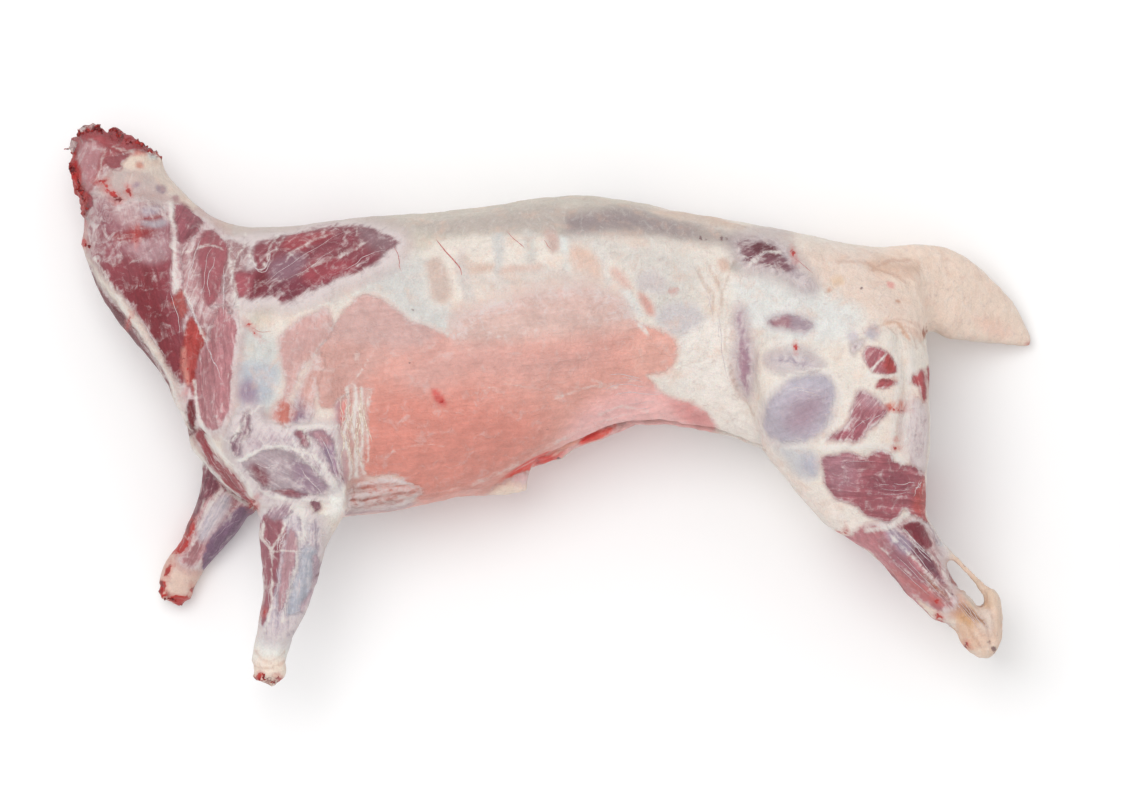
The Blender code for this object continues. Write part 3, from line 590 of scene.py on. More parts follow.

# Soft changes of colour in the fat and the fascia. Some are painted shade, as marked.
GROUND_TINTS = (
    # Painted shade: darker grey-beige along the top edge of the back.
    Tint("back_line", "ccc2b5", 12, (
        (196, 205), (240, 220), (320, 214), (420, 204), (520, 190), (600, 186), (660, 198), (640, 214),
        (560, 212), (500, 220), (440, 240), (420, 252), (395, 236), (330, 228), (290, 234), (250, 248),
        (225, 238))),
    Tint("rib_white", "cbc8c4", 14, (
        (390, 262), (425, 262), (430, 300), (470, 310), (462, 330), (440, 334), (410, 322), (385, 300),
        (360, 292), (330, 300), (318, 306), (350, 280))),
    Tint("loin_blue", "d9d5d1", 9, (
        (655, 312), (668, 300), (690, 302), (705, 318), (700, 338), (684, 345), (670, 330))),
    Tint("loin_pale", "d2cbc4", 14, (
        (560, 232), (620, 240), (690, 252), (700, 290), (660, 305), (640, 280), (600, 250), (560, 250))),
    # Painted shade in the hollow along the back, darkest in its core.
    Tint("loin_shadow", "afa29c", 9, (
        (470, 216), (520, 206), (560, 202), (600, 203), (640, 207), (700, 222), (742, 238), (735, 246),
        (690, 240), (640, 236), (600, 235), (560, 234), (510, 230), (474, 230))),
    Tint("loin_deep", "988a8a", 12, (
        (558, 220), (585, 212), (620, 211), (650, 217), (690, 226), (686, 232), (650, 228), (620, 228),
        (585, 232), (562, 230))),
    Tint("rump", "e1cdc0", 14, (
        (795, 245), (870, 250), (930, 243), (960, 255), (930, 318), (880, 322), (845, 300), (810, 272))),
    # Painted shadow: grey-lilac shade below the rump.
    Tint("rump_grey", "a29694", 6, (
        (776, 262), (790, 268), (804, 280), (814, 292), (802, 290), (788, 280), (776, 272))),
    Tint("thigh_white", "dad8d4", 12, (
        (738, 275), (790, 284), (830, 295), (860, 312), (850, 336), (800, 344), (756, 332), (737, 306))),
    Tint("thigh_cream", "ece0d7", 14, (
        (765, 445), (800, 480), (830, 500), (880, 526), (860, 545), (800, 500), (750, 440))),
    Tint("thigh_blue", "c9c6c7", 8, ((775, 447), (800, 448), (815, 456), (812, 476), (800, 474), (785, 462))),
    Tint("flank_cream", "eae1d9", 14, (
        (690, 325), (735, 330), (740, 400), (765, 442), (720, 432), (700, 406), (672, 386), (668, 372),
        (682, 356))),
    Tint("tail", "ebd5c5", 16, (
        (880, 248), (940, 240), (990, 262), (1020, 300), (1040, 350), (980, 346), (930, 338), (905, 305))),
    Tint("tail_tip", "c0574c", 4, ((1027, 343), (1036, 343), (1038, 352), (1028, 350))),
    Tint("root_folds", "ecd5c6", 6, ((884, 320), (905, 318), (926, 326), (926, 338), (910, 332), (890, 328))),
    Tint("seat_haze_a", "bdb4b9", 3, ((866, 328), (874, 324), (880, 332), (874, 340), (866, 336))),
    Tint("seat_haze_b", "cdc3c6", 3, ((848, 334), (856, 330), (860, 336), (852, 342))),
    # Painted shade in the furrows at the root of the tail.
    Tint("root_crease_a", "d6b19b", 1.1, (
        (884, 323), (897, 321), (904, 328), (911, 339), (909, 340), (902, 331), (896, 324), (885, 325))),
    Tint("root_crease_b", "a8705c", 1.3, ((920, 324), (925, 328), (927, 343), (922, 340))),
    Tint("rump_tan", "dfc3ab", 3, ((831, 278), (842, 276), (844, 283), (834, 285))),
    Tint("rump_dot_a", "c99c86", 1.2, ((827, 288), (831, 288), (831, 292), (827, 292))),
    Tint("rump_dot_b", "c49a86", 1.2, ((896, 299), (900, 299), (900, 303), (896, 303))),
    Tint("rump_pink", "e0a79e", 1.4, ((886, 282), (894, 284), (893, 288), (887, 287))),
    Tint("seat_column", "e2d0c4", 8, (
        (888, 385), (912, 385), (926, 402), (926, 460), (900, 462), (884, 445), (888, 420))),
    Tint("seat_mottle", "b28f94", 6, ((912, 415), (923, 412), (924, 462), (912, 464), (906, 440))),
    Tint("seat_scab", "d07961", 2.5, (
        (886, 404), (900, 401), (916, 404), (914, 411), (898, 410), (886, 409))),
    Tint("tail_blush_a", "d8b9a6", 7, ((866, 262), (890, 258), (920, 264), (912, 276), (884, 274))),
    Tint("tail_blush_b", "ecd6c6", 5, ((930, 300), (950, 298), (962, 310), (946, 316))),
    Tint("tail_blush_c", "eccdbd", 6, ((975, 318), (1000, 322), (1012, 336), (990, 336))),
    Tint("shoulder_white", "c8c7c3", 12, (
        (240, 325), (275, 340), (282, 370), (276, 400), (262, 430), (235, 430), (234, 380))),
    Tint("withers_blue", "bbb6c6", 4, ((284, 296), (298, 288), (312, 286), (306, 296), (290, 304))),
    Tint("shoulder_cream", "cec3b5", 7, ((250, 318), (262, 300), (276, 296), (272, 318), (258, 328))),
    Tint("shoulder_haze", "b6b9c0", 9, ((240, 365), (276, 366), (272, 398), (246, 404))),
    Tint("shoulder_spot", "998496", 7, (
        (241, 386), (250, 380), (257, 390), (255, 403), (246, 407), (239, 398))),
    Tint("fascia_low", "aa9b98", 8, (
        (228, 430), (262, 408), (275, 430), (262, 448), (244, 462), (232, 455))),
    Tint("elbow", "efebe5", 7, ((330, 482), (346, 482), (352, 500), (344, 516), (326, 514))),
    Tint("arm_blue", "c3cad6", 5, ((328, 478), (337, 476), (339, 488), (332, 490))),
    Tint("neck_band", "c1aea9", 9, (
        (92, 176), (110, 166), (140, 166), (165, 180), (172, 200), (150, 200), (120, 198), (98, 192))),
    Tint("neck_nape", "d6c5b9", 8, ((140, 160), (162, 158), (185, 190), (215, 218), (200, 218), (170, 195))),
    Tint("neck_fat", "dcc8b9", 5, ((120, 160), (135, 150), (158, 146), (162, 162), (140, 170), (124, 168))),
    Tint("neck_fat_edge", "cf8f84", 2, (
        (124, 150), (134, 148), (146, 148), (152, 152), (142, 155), (128, 156))),
    Tint("neck_fat_spot", "c48a7b", 2, ((137, 163), (142, 163), (144, 168), (138, 169))),
    Tint("neck_fat_hollow", "cdd0cc", 2.5, ((148, 150), (155, 150), (157, 158), (150, 159))),
    Tint("far_knee_a", "cc8f86", 3, ((166, 560), (174, 557), (180, 566), (174, 578), (166, 574))),
    Tint("far_knee_b", "d09a90", 3, ((183, 562), (193, 560), (198, 574), (188, 580))),
    Tint("heel_a", "c99e80", 3, ((988, 592), (996, 590), (1000, 598), (994, 604), (988, 602))),
    Tint("heel_b", "c9a389", 3, ((984, 622), (996, 618), (1000, 628), (990, 634))),
    Tint("heel_c", "ccaa94", 3, ((970, 634), (980, 630), (986, 640), (976, 646))),
    Tint("smudge_a", "a28b95", 2, ((133, 183), (139, 182), (140, 187), (134, 188))),
    Tint("smudge_b", "947f89", 2.5, ((158, 185), (166, 187), (164, 193), (157, 190))),
    Tint("smudge_c", "b18d8d", 2, ((172, 196), (178, 194), (180, 200), (174, 202))),
    Tint("stump", "b79fa3", 8, ((76, 132), (110, 132), (124, 150), (104, 160), (96, 185), (80, 190))),
    Tint("gristle", "dac6bf", 4, ((76, 120), (92, 120), (92, 132), (78, 133))),
    Tint("hock", "e2c6b2", 10, (
        (942, 590), (975, 615), (985, 588), (1002, 590), (1004, 640), (988, 662), (965, 645))),
    Tint("hock_tan", "d3a680", 5, (
        (943, 585), (955, 592), (966, 602), (978, 616), (974, 628), (962, 624), (950, 610), (944, 598))),
    Tint("hock_tan_low", "dab79f", 4, ((958, 622), (972, 632), (978, 646), (968, 650), (958, 636))),
    Tint("hock_pale", "dcc8bb", 4, ((978, 612), (988, 604), (994, 620), (992, 636), (982, 630))),
    Tint("hock_brown", "a67a5e", 1.6, (
        (958, 603), (966, 606), (978, 616), (986, 624), (976, 620), (964, 611))),
    Tint("tendon_edge", "b98f70", 1.6, (
        (962, 565), (972, 574), (982, 586), (984, 596), (976, 586), (966, 576))),
    Tint("tendon_blue", "bcc1ca", 4, ((931, 537), (942, 541), (950, 551), (944, 556), (935, 548))),
    Tint("hock_tan_right", "c99f7c", 3, ((980, 586), (990, 592), (992, 604), (984, 606), (980, 598))),
    Tint("heel_tendon", "dcc2ad", 8, (
        (940, 545), (955, 552), (985, 582), (1002, 594), (990, 606), (975, 590), (950, 562))),
    Tint("tendon_root", "d8d9d8", 8, ((926, 520), (940, 538), (950, 552), (940, 566), (930, 548))),
    Tint("shank_edge", "ece1d0", 7, ((868, 550), (895, 580), (915, 592), (935, 612), (915, 606), (880, 570))),
    Tint("forearm_blue", "ccd3d9", 7, (
        (300, 548), (312, 542), (320, 555), (314, 585), (304, 612), (292, 612), (296, 580))),
    Tint("forearm_rear", "ba93a0", 6, ((312, 575), (322, 572), (318, 595), (306, 620), (302, 610))),
    Tint("forearm_low", "e4e1db", 9, (
        (262, 630), (280, 612), (304, 618), (298, 640), (286, 670), (258, 668), (256, 648))),
    Tint("knee", "ecdacb", 6, ((254, 660), (284, 660), (282, 684), (254, 684))),
    Tint("far_fore", "ccbcb2", 7, ((195, 505), (222, 490), (230, 500), (212, 530), (200, 555), (190, 545))),
    Tint("far_fore_low", "dfc3b5", 8, (
        (166, 555), (198, 545), (202, 572), (194, 600), (160, 600), (160, 575))),
    Tint("brisket_band", "d9cfc3", 6, (
        (346, 486), (372, 478), (402, 478), (412, 490), (380, 486), (352, 498))),
    Tint("flap", "ecd7c7", 5, (
        (468, 490), (480, 484), (497, 480), (514, 479), (530, 476), (527, 497), (500, 496), (470, 495))),
    # Pinkish flesh behind the armpit's strings of fat, with painted shade between them and in the armpit.
    Tint("fringe", "cba49c", 5, ((343, 384), (368, 386), (368, 476), (348, 480))),
    Tint("armpit", "bb959c", 4, ((334, 405), (342, 400), (346, 440), (350, 480), (345, 480), (338, 440))),
    # Painted shade: a darker grey-beige band under the back's top edge.
    Tint("back_edge", "c8bfb4", 8, (
        (395, 216), (450, 210), (520, 200), (560, 194), (620, 198), (600, 206), (560, 212), (560, 232),
        (500, 232), (450, 236), (400, 232))),
    Tint("back_dim", "baaea6", 7, (
        (410, 224), (450, 220), (500, 212), (556, 206), (558, 230), (520, 232), (480, 232), (440, 234))),
    Tint("back_peach", "d1bcad", 4, ((655, 207), (700, 214), (740, 224), (736, 230), (700, 222), (660, 214))),
    Tint("loin_lilac", "cbc1bf", 5, ((638, 276), (655, 272), (668, 284), (660, 294), (642, 290))),
    Tint("loin_speckle", "ccc4c4", 6, (
        (656, 318), (668, 306), (690, 304), (704, 318), (690, 330), (672, 334))),
    Tint("rib_band_a", "d1c7c1", 3, ((458, 252), (464, 250), (474, 284), (476, 304), (464, 298), (456, 272))),
    Tint("rib_band_b", "ccc8c4", 4, ((492, 236), (504, 234), (503, 262), (500, 284), (494, 280), (494, 256))),
    Tint("rib_band_c", "cdc8c2", 4, ((524, 230), (534, 236), (536, 264), (528, 266), (524, 250))),
    Tint("rib_band_d", "d7d9d5", 3, ((558, 236), (566, 240), (570, 262), (571, 286), (562, 284), (562, 262))),
    Tint("rib_band_e", "dad4ce", 4, ((590, 240), (604, 252), (610, 274), (612, 286), (604, 284), (600, 266))),
    Tint("island_a", "dadfdc", 2.5, ((622, 291), (630, 292), (640, 308), (641, 315), (634, 315), (626, 304))),
    Tint("island_b", "dce4e3", 2.5, ((637, 326), (644, 323), (650, 328), (650, 336), (642, 335))),
    Tint("loin_spot_a", "d6b9aa", 3, ((718, 260), (728, 259), (730, 268), (722, 271))),
    Tint("loin_spot_b", "c1bcb2", 3, ((731, 264), (739, 263), (740, 271), (733, 272))),
    Tint("rib_a", "c9b5ab", 5, ((427, 262), (440, 258), (450, 280), (449, 302), (434, 301), (429, 284))),
    Tint("rib_b", "d0b5a7", 5, ((470, 266), (492, 264), (492, 272), (472, 274))),
    Tint("rib_c", "d2b6aa", 4, ((503, 268), (538, 264), (540, 271), (506, 275))),
    Tint("rib_d", "c7ada4", 4, ((545, 232), (556, 230), (559, 249), (550, 252))),
    Tint("rib_e", "d8beb1", 5, ((571, 250), (588, 250), (600, 264), (602, 279), (576, 276))),
    Tint("rib_f", "d8b6ab", 5, ((611, 268), (620, 271), (633, 288), (624, 288), (613, 278))),
    Tint("rib_g", "cf9e94", 4, ((639, 292), (648, 298), (655, 312), (648, 314), (641, 304))),
    Tint("rib_h", "d5c8c0", 8, ((470, 280), (520, 272), (560, 268), (600, 282), (560, 286), (500, 296))),
)

# Blood and clots: x, y, half widths and turn in degrees.
BLOOD_SPOTS = (
    Spot(66, 150, 5, 2.5, -50), Spot(68, 165, 5, 6, 0), Spot(76, 182, 5, 9, 10), Spot(83, 208, 1.6, 13, 5),
    Spot(84, 243, 4, 4.5, 20), Spot(101, 182, 4.5, 2.2, 0), Spot(107, 187, 2, 4, -15),
    Spot(113, 194, 7, 3, -25), Spot(118, 199, 5, 2.5, 10), Spot(129, 191, 2, 4.5, 20),
    Spot(158, 151, 2.5, 4, 10),
    Spot(137, 236, 1.5, 5, 0), Spot(189, 366, 1.3, 10, -8), Spot(184, 356, 1, 6, -5),
    Spot(128, 322, 1.5, 5, -20), Spot(441, 401, 2.4, 3.4, 30), Spot(253, 502, 2.5, 6, -35),
    Spot(256, 508, 2.5, 4, -20), Spot(190, 529, 5, 11, -28), Spot(180, 545, 7, 10, -42),
    Spot(167, 571, 3, 8, -25), Spot(161, 589, 4, 9, 10), Spot(178, 599, 14, 4, 8),
    Spot(193, 590, 3, 5, 0), Spot(259, 676, 3.5, 4, 20), Spot(278, 679, 3, 3.5, 0),
    Spot(265, 612, 2, 3, 0), Spot(794, 255, 1.8, 5, 15), Spot(795, 347, 1.5, 3, 10),
    Spot(673, 291, 2, 1.5, 30), Spot(896, 440, 1.5, 1.5, 0), Spot(897, 449, 2, 1, 0),
    Spot(936, 601, 3.5, 2.5, -30), Spot(968, 643, 2, 3, 30), Spot(938, 617, 4, 2.5, -20),
    Spot(253, 330, 1.2, 5, 40), Spot(250, 326, 2.5, 1.2, -20),
    Spot(538, 464, 3, 1.6, 20), Spot(895, 409, 6, 1.4, -6), Spot(846, 534, 2, 4, 10),
    Spot(1031, 346, 2.2, 1.4, 0),
)

# Small pits, darkened with painted shade, and dark scabs: x, y, radius.
PITS = (
    (701, 236, 1.6), (706, 238, 1.2), (722, 238, 2.0), (727, 238, 1.3), (861, 288, 1.5), (307, 429, 1.4),
    (349, 447, 1.3), (359, 394, 1.2), (109, 216, 1.3), (173, 277, 1.2),
    (410, 363, 1.3), (412, 310, 1.2), (548, 428, 1.0), (898, 241, 1.0), (989, 642, 2.2), (993, 649, 2.4),
    (965, 565, 1.8), (951, 594, 1.6), (320, 583, 2.6), (318, 576, 1.8), (557, 459, 2.4),
    (451, 430, 0.9), (302, 526, 1.0),
)

# Folds and furrows of the surface: height in millimetres, width in pixels, route.
FOLDS = (
    Fold("flank_a", 1.3, 4, ((702, 262), (709, 290), (716, 325), (720, 365), (728, 400), (742, 428))),
    Fold("flank_b", 1.0, 3, ((713, 268), (719, 300), (725, 335), (731, 375), (742, 410), (757, 436))),
    Fold("flank_furrow", -1.6, 5, ((722, 272), (730, 305), (733, 340), (736, 375), (746, 410), (765, 438))),
    Fold("oval_edge", -1.2, 4, ((764, 432), (785, 446), (810, 443), (826, 432), (836, 410), (838, 388))),
    Fold("thigh_ridge", 1.0, 7, ((745, 440), (780, 446), (812, 448), (840, 446), (870, 444))),
    Fold("seat_furrow", -1.4, 5, ((898, 350), (906, 380), (904, 420), (898, 452), (895, 466))),
    Fold("seat_ridge", 1.2, 7, ((905, 345), (914, 380), (914, 420), (910, 460))),
    Fold("tail_furrow_a", -0.9, 6, ((868, 272), (900, 262), (940, 262), (975, 276), (1000, 300))),
    Fold("tail_furrow_b", -0.8, 6, ((880, 300), (915, 290), (955, 296), (990, 312), (1012, 330))),
    Fold("tail_ridge", 0.8, 9, ((890, 282), (925, 276), (965, 286), (1000, 312))),
    Fold("root_furrow_a", -1.6, 3, ((884, 322), (898, 319), (912, 321), (924, 333))),
    Fold("root_furrow_b", -1.0, 3, ((894, 330), (905, 326), (915, 330), (922, 342))),
    Fold("tail_wrinkle_a", -0.9, 3, ((872, 268), (890, 260), (912, 258))),
    Fold("tail_wrinkle_b", -0.7, 5, ((900, 300), (930, 300), (962, 312), (990, 326), (1012, 338))),
    Fold("tail_wrinkle_c", -0.7, 5, ((936, 276), (960, 282), (984, 300), (1004, 322))),
    Fold("tail_wrinkle_d", -0.8, 3, ((838, 262), (862, 262), (886, 270), (910, 284))),
    Fold("tail_wrinkle_e", -0.6, 5, ((952, 326), (972, 326), (996, 336), (1018, 344))),
    Fold("root_furrow_c", -1.2, 2.5, ((902, 333), (909, 330), (915, 336), (918, 348))),
    Fold("root_furrow_d", -1.0, 2.5, ((872, 330), (882, 326), (892, 330), (898, 340))),
    Fold("flank_wrinkle_a", -0.8, 2.5, ((696, 266), (702, 280), (712, 296), (712, 320))),
    Fold("flank_wrinkle_b", -0.8, 2.5, ((708, 262), (714, 276), (722, 290), (722, 312))),
    Fold("flank_wrinkle_c", -0.7, 2.5, ((738, 258), (730, 272), (724, 290), (720, 306))),
    Fold("flank_wrinkle_d", -0.7, 2.5, ((724, 330), (728, 360), (738, 392), (752, 416))),
    Fold("hock_line_a", -1.0, 2.5, ((946, 584), (958, 600), (972, 618), (984, 636))),
    Fold("hock_line_b", -0.9, 2.5, ((952, 580), (966, 596), (980, 612), (988, 628))),
    Fold("hock_line_c", -0.8, 2.5, ((956, 604), (964, 618), (972, 634), (980, 646))),
    Fold("hock_line_d", -0.8, 2.5, ((984, 590), (988, 604), (992, 620), (996, 636))),
    Fold("hock_ridge_a", 1.2, 3, ((940, 592), (952, 610), (966, 634), (972, 650))),
    Fold("hock_ridge_b", 1.2, 3, ((962, 596), (974, 612), (984, 628))),
    Fold("hock_ridge_c", 1.0, 3, ((990, 592), (994, 606), (997, 622), (996, 640))),
    Fold("knee_line", -0.8, 2.5, ((256, 652), (264, 660), (274, 660), (284, 652))),
    Fold("brisket_a", -0.8, 2, ((352, 494), (372, 486), (396, 484), (418, 488))),
    Fold("brisket_b", -0.8, 2, ((352, 502), (374, 496), (398, 494), (420, 492))),
    Fold("brisket_c", -0.8, 2, ((354, 509), (376, 504), (400, 500), (418, 496))),
    Fold("spine_furrow", -1.5, 9, ((560, 220), (600, 217), (650, 222), (700, 234), (740, 244))),
    Fold("throat_stripe", 1.3, 5, (
        (90, 250), (104, 276), (122, 302), (140, 330), (157, 356), (172, 384), (180, 405))),
    Fold("neck_fascia", 0.9, 7, ((171, 195), (173, 225), (174, 260), (178, 288))),
    Fold("strap_furrow", -1.5, 5, ((232, 318), (240, 340), (235, 370), (232, 402), (222, 430))),
    Fold("neck_furrow", -1.0, 5, ((184, 300), (192, 320), (206, 345), (200, 380), (200, 410))),
    Fold("chest_cord_a", 1.2, 4, ((182, 405), (190, 436), (206, 462), (222, 487), (250, 508))),
    Fold("chest_cord_b", 1.0, 5, ((222, 487), (208, 503), (200, 516), (194, 530))),
    Fold("chest_cord_c", 1.0, 4, ((197, 410), (203, 432), (215, 455), (232, 468), (248, 488), (262, 508))),
    Fold("shoulder_band", 1.2, 8, ((244, 462), (262, 450), (276, 440), (300, 426))),
    Fold("arm_band", 1.2, 6, ((276, 446), (300, 455), (322, 474), (340, 498))),
    Fold("arm_band_rear", 1.0, 5, ((306, 436), (314, 455), (326, 472), (340, 494))),
    Fold("armpit_furrow", -2.0, 6, ((372, 392), (350, 408), (345, 435), (347, 462), (352, 490), (350, 512))),
    Fold("belly_fold_a", 0.7, 4, ((410, 492), (450, 482), (500, 462), (545, 438), (590, 412), (640, 398))),
    Fold("belly_fold_b", 0.6, 3, ((430, 498), (475, 486), (520, 463), (560, 442), (610, 420), (660, 408))),
    Fold("belly_fold_c", 0.8, 3, ((480, 488), (520, 468), (560, 448), (600, 430), (650, 424), (700, 428))),
    Fold("flap_fold_a", 0.8, 2.5, ((501, 482), (502, 494))),
    Fold("flap_fold_b", 0.8, 2.5, ((507, 481), (508, 494))),
    Fold("flap_fold_c", 0.8, 2.5, ((513, 479), (514, 492))),
    Fold("knee_crease", -1.0, 3, ((254, 666), (266, 668), (280, 664), (288, 658))),
    Fold("shin_cord_a", 0.8, 3, ((276, 545), (274, 580), (272, 612), (266, 640))),
    Fold("shin_cord_b", 0.7, 3, ((300, 540), (294, 575), (286, 606), (280, 640))),
    Fold("forearm_x_a", 0.7, 2.5, ((290, 528), (282, 538), (276, 550), (275, 575))),
    Fold("forearm_x_b", 0.6, 2.5, ((262, 532), (267, 544), (275, 552))),
    Fold("shank_cord_a", 0.8, 3, ((900, 530), (915, 550), (930, 570), (945, 592))),
    Fold("shank_cord_b", 0.7, 3, ((888, 552), (905, 568), (922, 585), (940, 604))),
    Fold("hock_furrow", -1.0, 3, ((968, 608), (980, 620), (988, 632), (990, 642))),
    Fold("rib_a", 0.7, 14, ((420, 262), (424, 300), (432, 350), (440, 400))),
    Fold("rib_b", 0.6, 14, ((462, 258), (468, 300), (478, 350), (484, 400))),
    Fold("rib_c", 0.6, 14, ((505, 252), (514, 300), (525, 350), (530, 395))),
    Fold("rib_d", 0.6, 14, ((550, 248), (560, 295), (570, 340), (574, 380))),
    Fold("rib_e", 0.5, 14, ((592, 250), (604, 290), (614, 330), (618, 365))),
)

# White sinews that lie on the flesh, spread between a first and a last line: count, width in pixels.
SINEWS = (
    Strands("withers_long", 3, 0.9, ((256, 290), (290, 268), (330, 240), (362, 226)),
            ((300, 292), (330, 275), (362, 258), (396, 240))),
    Strands("withers_loop", 2, 1.2, ((250, 258), (259, 271), (268, 262), (277, 238)),
            ((252, 256), (260, 273), (270, 262), (280, 240))),
    Strands("neck_fan", 4, 0.9, ((186, 300), (190, 275), (196, 250), (206, 236)),
            ((222, 330), (224, 312), (222, 290), (226, 262))),
    Strands("neck_edge", 3, 1.5, ((184, 294), (192, 310), (202, 336)), ((187, 300), (195, 318), (204, 332))),
    Strands("neck_low", 2, 0.9, ((134, 292), (146, 322), (168, 360)), ((166, 282), (176, 320), (184, 372))),
    Strands("strap_edge", 3, 1.4, ((209, 344), (214, 362), (226, 388)), ((206, 338), (209, 352), (219, 368))),
    Strands("chest", 4, 0.9, ((192, 436), (206, 458), (222, 486), (248, 508)),
            ((202, 430), (218, 454), (240, 476), (262, 508))),
    Strands("arm_cross", 3, 0.8, ((256, 462), (268, 468), (282, 466)), ((290, 462), (300, 474), (318, 492))),
    Strands("arm_wisps", 5, 0.8, ((292, 428), (304, 450), (322, 486)), ((330, 432), (340, 456), (348, 484))),
    Strands("forearm_x", 3, 1.2, ((291, 527), (280, 540), (275, 554)), ((293, 529), (283, 541), (277, 556))),
    Strands("forearm_y", 2, 1.1, ((262, 530), (268, 543), (275, 553)), ((260, 532), (266, 545), (274, 555))),
    Strands("forearm_down", 5, 0.9, ((270, 552), (270, 590), (264, 630)),
            ((300, 540), (298, 585), (286, 625))),
    Strands("far_fore", 5, 0.8, ((196, 500), (188, 530), (176, 562)), ((232, 500), (216, 525), (202, 556))),
    Strands("far_net", 3, 0.5, ((218, 520), (232, 512), (250, 506)), ((204, 566), (222, 548), (244, 524))),
    Strands("oval_wisps", 4, 0.9, ((784, 392), (800, 388), (820, 392)), ((800, 394), (814, 396), (826, 400))),
    Strands("rump_rays", 3, 0.7, ((742, 262), (756, 256), (775, 262)), ((752, 270), (764, 252), (780, 246))),
    Strands("thigh_lines", 3, 0.5, ((842, 470), (868, 466), (895, 470)),
            ((850, 506), (880, 500), (924, 498))),
    Strands("thigh_bright", 2, 0.7, ((880, 484), (900, 484), (920, 482)),
            ((880, 490), (900, 492), (924, 494))),
    Strands("thigh_cross", 3, 1.4, ((914, 496), (919, 486), (924, 476)),
            ((912, 498), (917, 488), (922, 478))),
    Strands("wedge", 2, 0.7, ((846, 436), (866, 418), (884, 398)), ((866, 436), (878, 420), (890, 408))),
    Strands("seat_column", 4, 0.8, ((898, 390), (900, 420), (902, 456)),
            ((916, 392), (920, 420), (918, 458))),
    Strands("shank", 4, 0.9, ((890, 530), (912, 552), (946, 594)), ((884, 556), (904, 574), (940, 606))),
    Strands("shank_top", 4, 1.2, ((898, 528), (914, 545), (930, 562)), ((902, 526), (920, 546), (934, 560))),
    Strands("hock", 6, 0.9, ((948, 590), (962, 610), (980, 634)), ((960, 592), (976, 612), (990, 630))),
    Strands("flank_wisps", 6, 0.9, ((590, 378), (620, 372), (648, 380)),
            ((612, 414), (640, 408), (668, 406))),
    Strands("loin_wisps", 4, 0.7, ((700, 262), (706, 282), (706, 310)), ((716, 300), (722, 340), (730, 390))),
)

# Fine red vessels: width in pixels, route.
VESSELS = (
    (1.6, ((437, 240), (444, 249), (452, 259), (459, 267), (463, 276))),
    (0.9, ((508, 232), (514, 239), (520, 244), (526, 249))),
    (0.9, ((395, 246), (398, 258), (402, 272))),
    (0.8, ((795, 258), (803, 265), (813, 273))),
    (0.7, ((250, 326), (262, 333), (270, 331))),
    (0.8, ((544, 240), (548, 246), (552, 250))),
)

# Torn flakes along the cut ends: count, longest in pixels, route.
FLAKES = (
    (34, 8, ((98, 128), (80, 131), (68, 146), (70, 168), (80, 190))),
    (6, 5, ((82, 194), (84, 220))),
    (3, 5, ((84, 240), (87, 248))),
    (26, 7, ((96, 129), (110, 129), (126, 140), (144, 145), (160, 156))),
    (12, 5, ((160, 586), (168, 598), (184, 601), (194, 594))),
    (5, 4, ((256, 674), (268, 679), (281, 677))),
)
GRISTLE = (
    (2, 16, ((73, 148), (71, 144))),
    (4, 8, ((80, 128), (90, 127))),
    (4, 6, ((146, 150), (158, 156))),
)

# Cut ends where the flesh is torn: route and reach in pixels.
TORN_ENDS = (
    (((92, 128), (74, 134), (66, 150), (70, 172), (80, 192), (83, 214)), 8),
    (((92, 128), (108, 128), (126, 138), (144, 144), (160, 152)), 7),
    (((158, 588), (168, 600), (184, 604), (196, 598)), 4),
    (((254, 678), (268, 681), (283, 680)), 3),
)

# Stringy fat in the armpit: its middle line, how far its strings spread and how far the most slanted
# ones lean over their length, in pixels.
FRINGE_LINE = ((354, 386), (352, 410), (353, 440), (357, 478))
FRINGE_SPREAD = 11
FRINGE_LEAN = 60
FRINGE_STRINGS = 20


def linear(code):
    """A hex colour as linear red, green and blue."""
    values = []
    for start in (0, 2, 4):
        value = int(code[start:start + 2], 16) / 255
        values.append(value / 12.92 if value <= 0.04045 else ((value + 0.055) / 1.055) ** 2.4)
    return values


def smoothstep(low, high, value):
    """Zero below low, one above high and a soft S between, for numpy arrays."""
    share = np.clip((value - low) / (high - low), 0, 1)
    return share * share * (3 - 2 * share)


def picture_places(points, normals):
    """Where points of the surface show in the picture. The lower side uses the upper side's places."""
    rise = points[:, 2] - MIDDLE_HEIGHT
    lower = smoothstep(*LOWER_NORMALS, -normals[:, 2]) * (rise < 0)
    rise = rise * (1 - 2 * lower)
    scale = CAMERA_DISTANCE / (CAMERA_DISTANCE - rise) / METRES_PER_PIXEL
    across = PICTURE_WIDTH / 2 + (points[:, 0] - CAMERA_X) * scale
    down = PICTURE_HEIGHT / 2 - (points[:, 1] - CAMERA_Y) * scale
    return np.stack((across, down), 1)


def wander(points, wave):
    """Smooth noise vectors at points, the same each run."""
    shift = Vector((wave.offset, wave.offset * 0.7, -wave.offset * 0.4))
    scale = 1 / wave.size
    return np.array([noise.noise_vector(Vector(p) * scale + shift) for p in points]) * wave.height


def rounded(line, closed, steps=4):
    """Points of a smooth curve through a line's points."""
    points = [Vector((*p, 0)) for p in line]
    count = len(points)
    made = []
    for index in range(count if closed else count - 1):
        if closed:
            before, start, end, after = (points[(index + k) % count] for k in (-1, 0, 1, 2))
        else:
            start, end = points[index], points[index + 1]
            before = points[max(index - 1, 0)]
            after = points[min(index + 2, count - 1)]
        for step in range(steps):
            t = step / steps
            bend = 2 * before - 5 * start + 4 * end - after
            twist = 3 * (start - end) + after - before
            made.append(start + 0.5 * t * (end - before + t * (bend + t * twist)))
    if not closed:
        made.append(points[-1])
    return np.array([(p.x, p.y) for p in made])


def line_distance(places, starts, ends):
    """Distance from each place to the nearest of some straight runs."""
    nearest = np.full(len(places), np.inf)
    for start, end in zip(starts, ends):
        run = end - start
        share = ((places - start) @ run) / max(run @ run, 1e-9)
        share = np.clip(share, 0, 1)[:, None]
        gap = np.linalg.norm(places - (start + share * run), axis=1)
        nearest = np.minimum(nearest, gap)
    return nearest


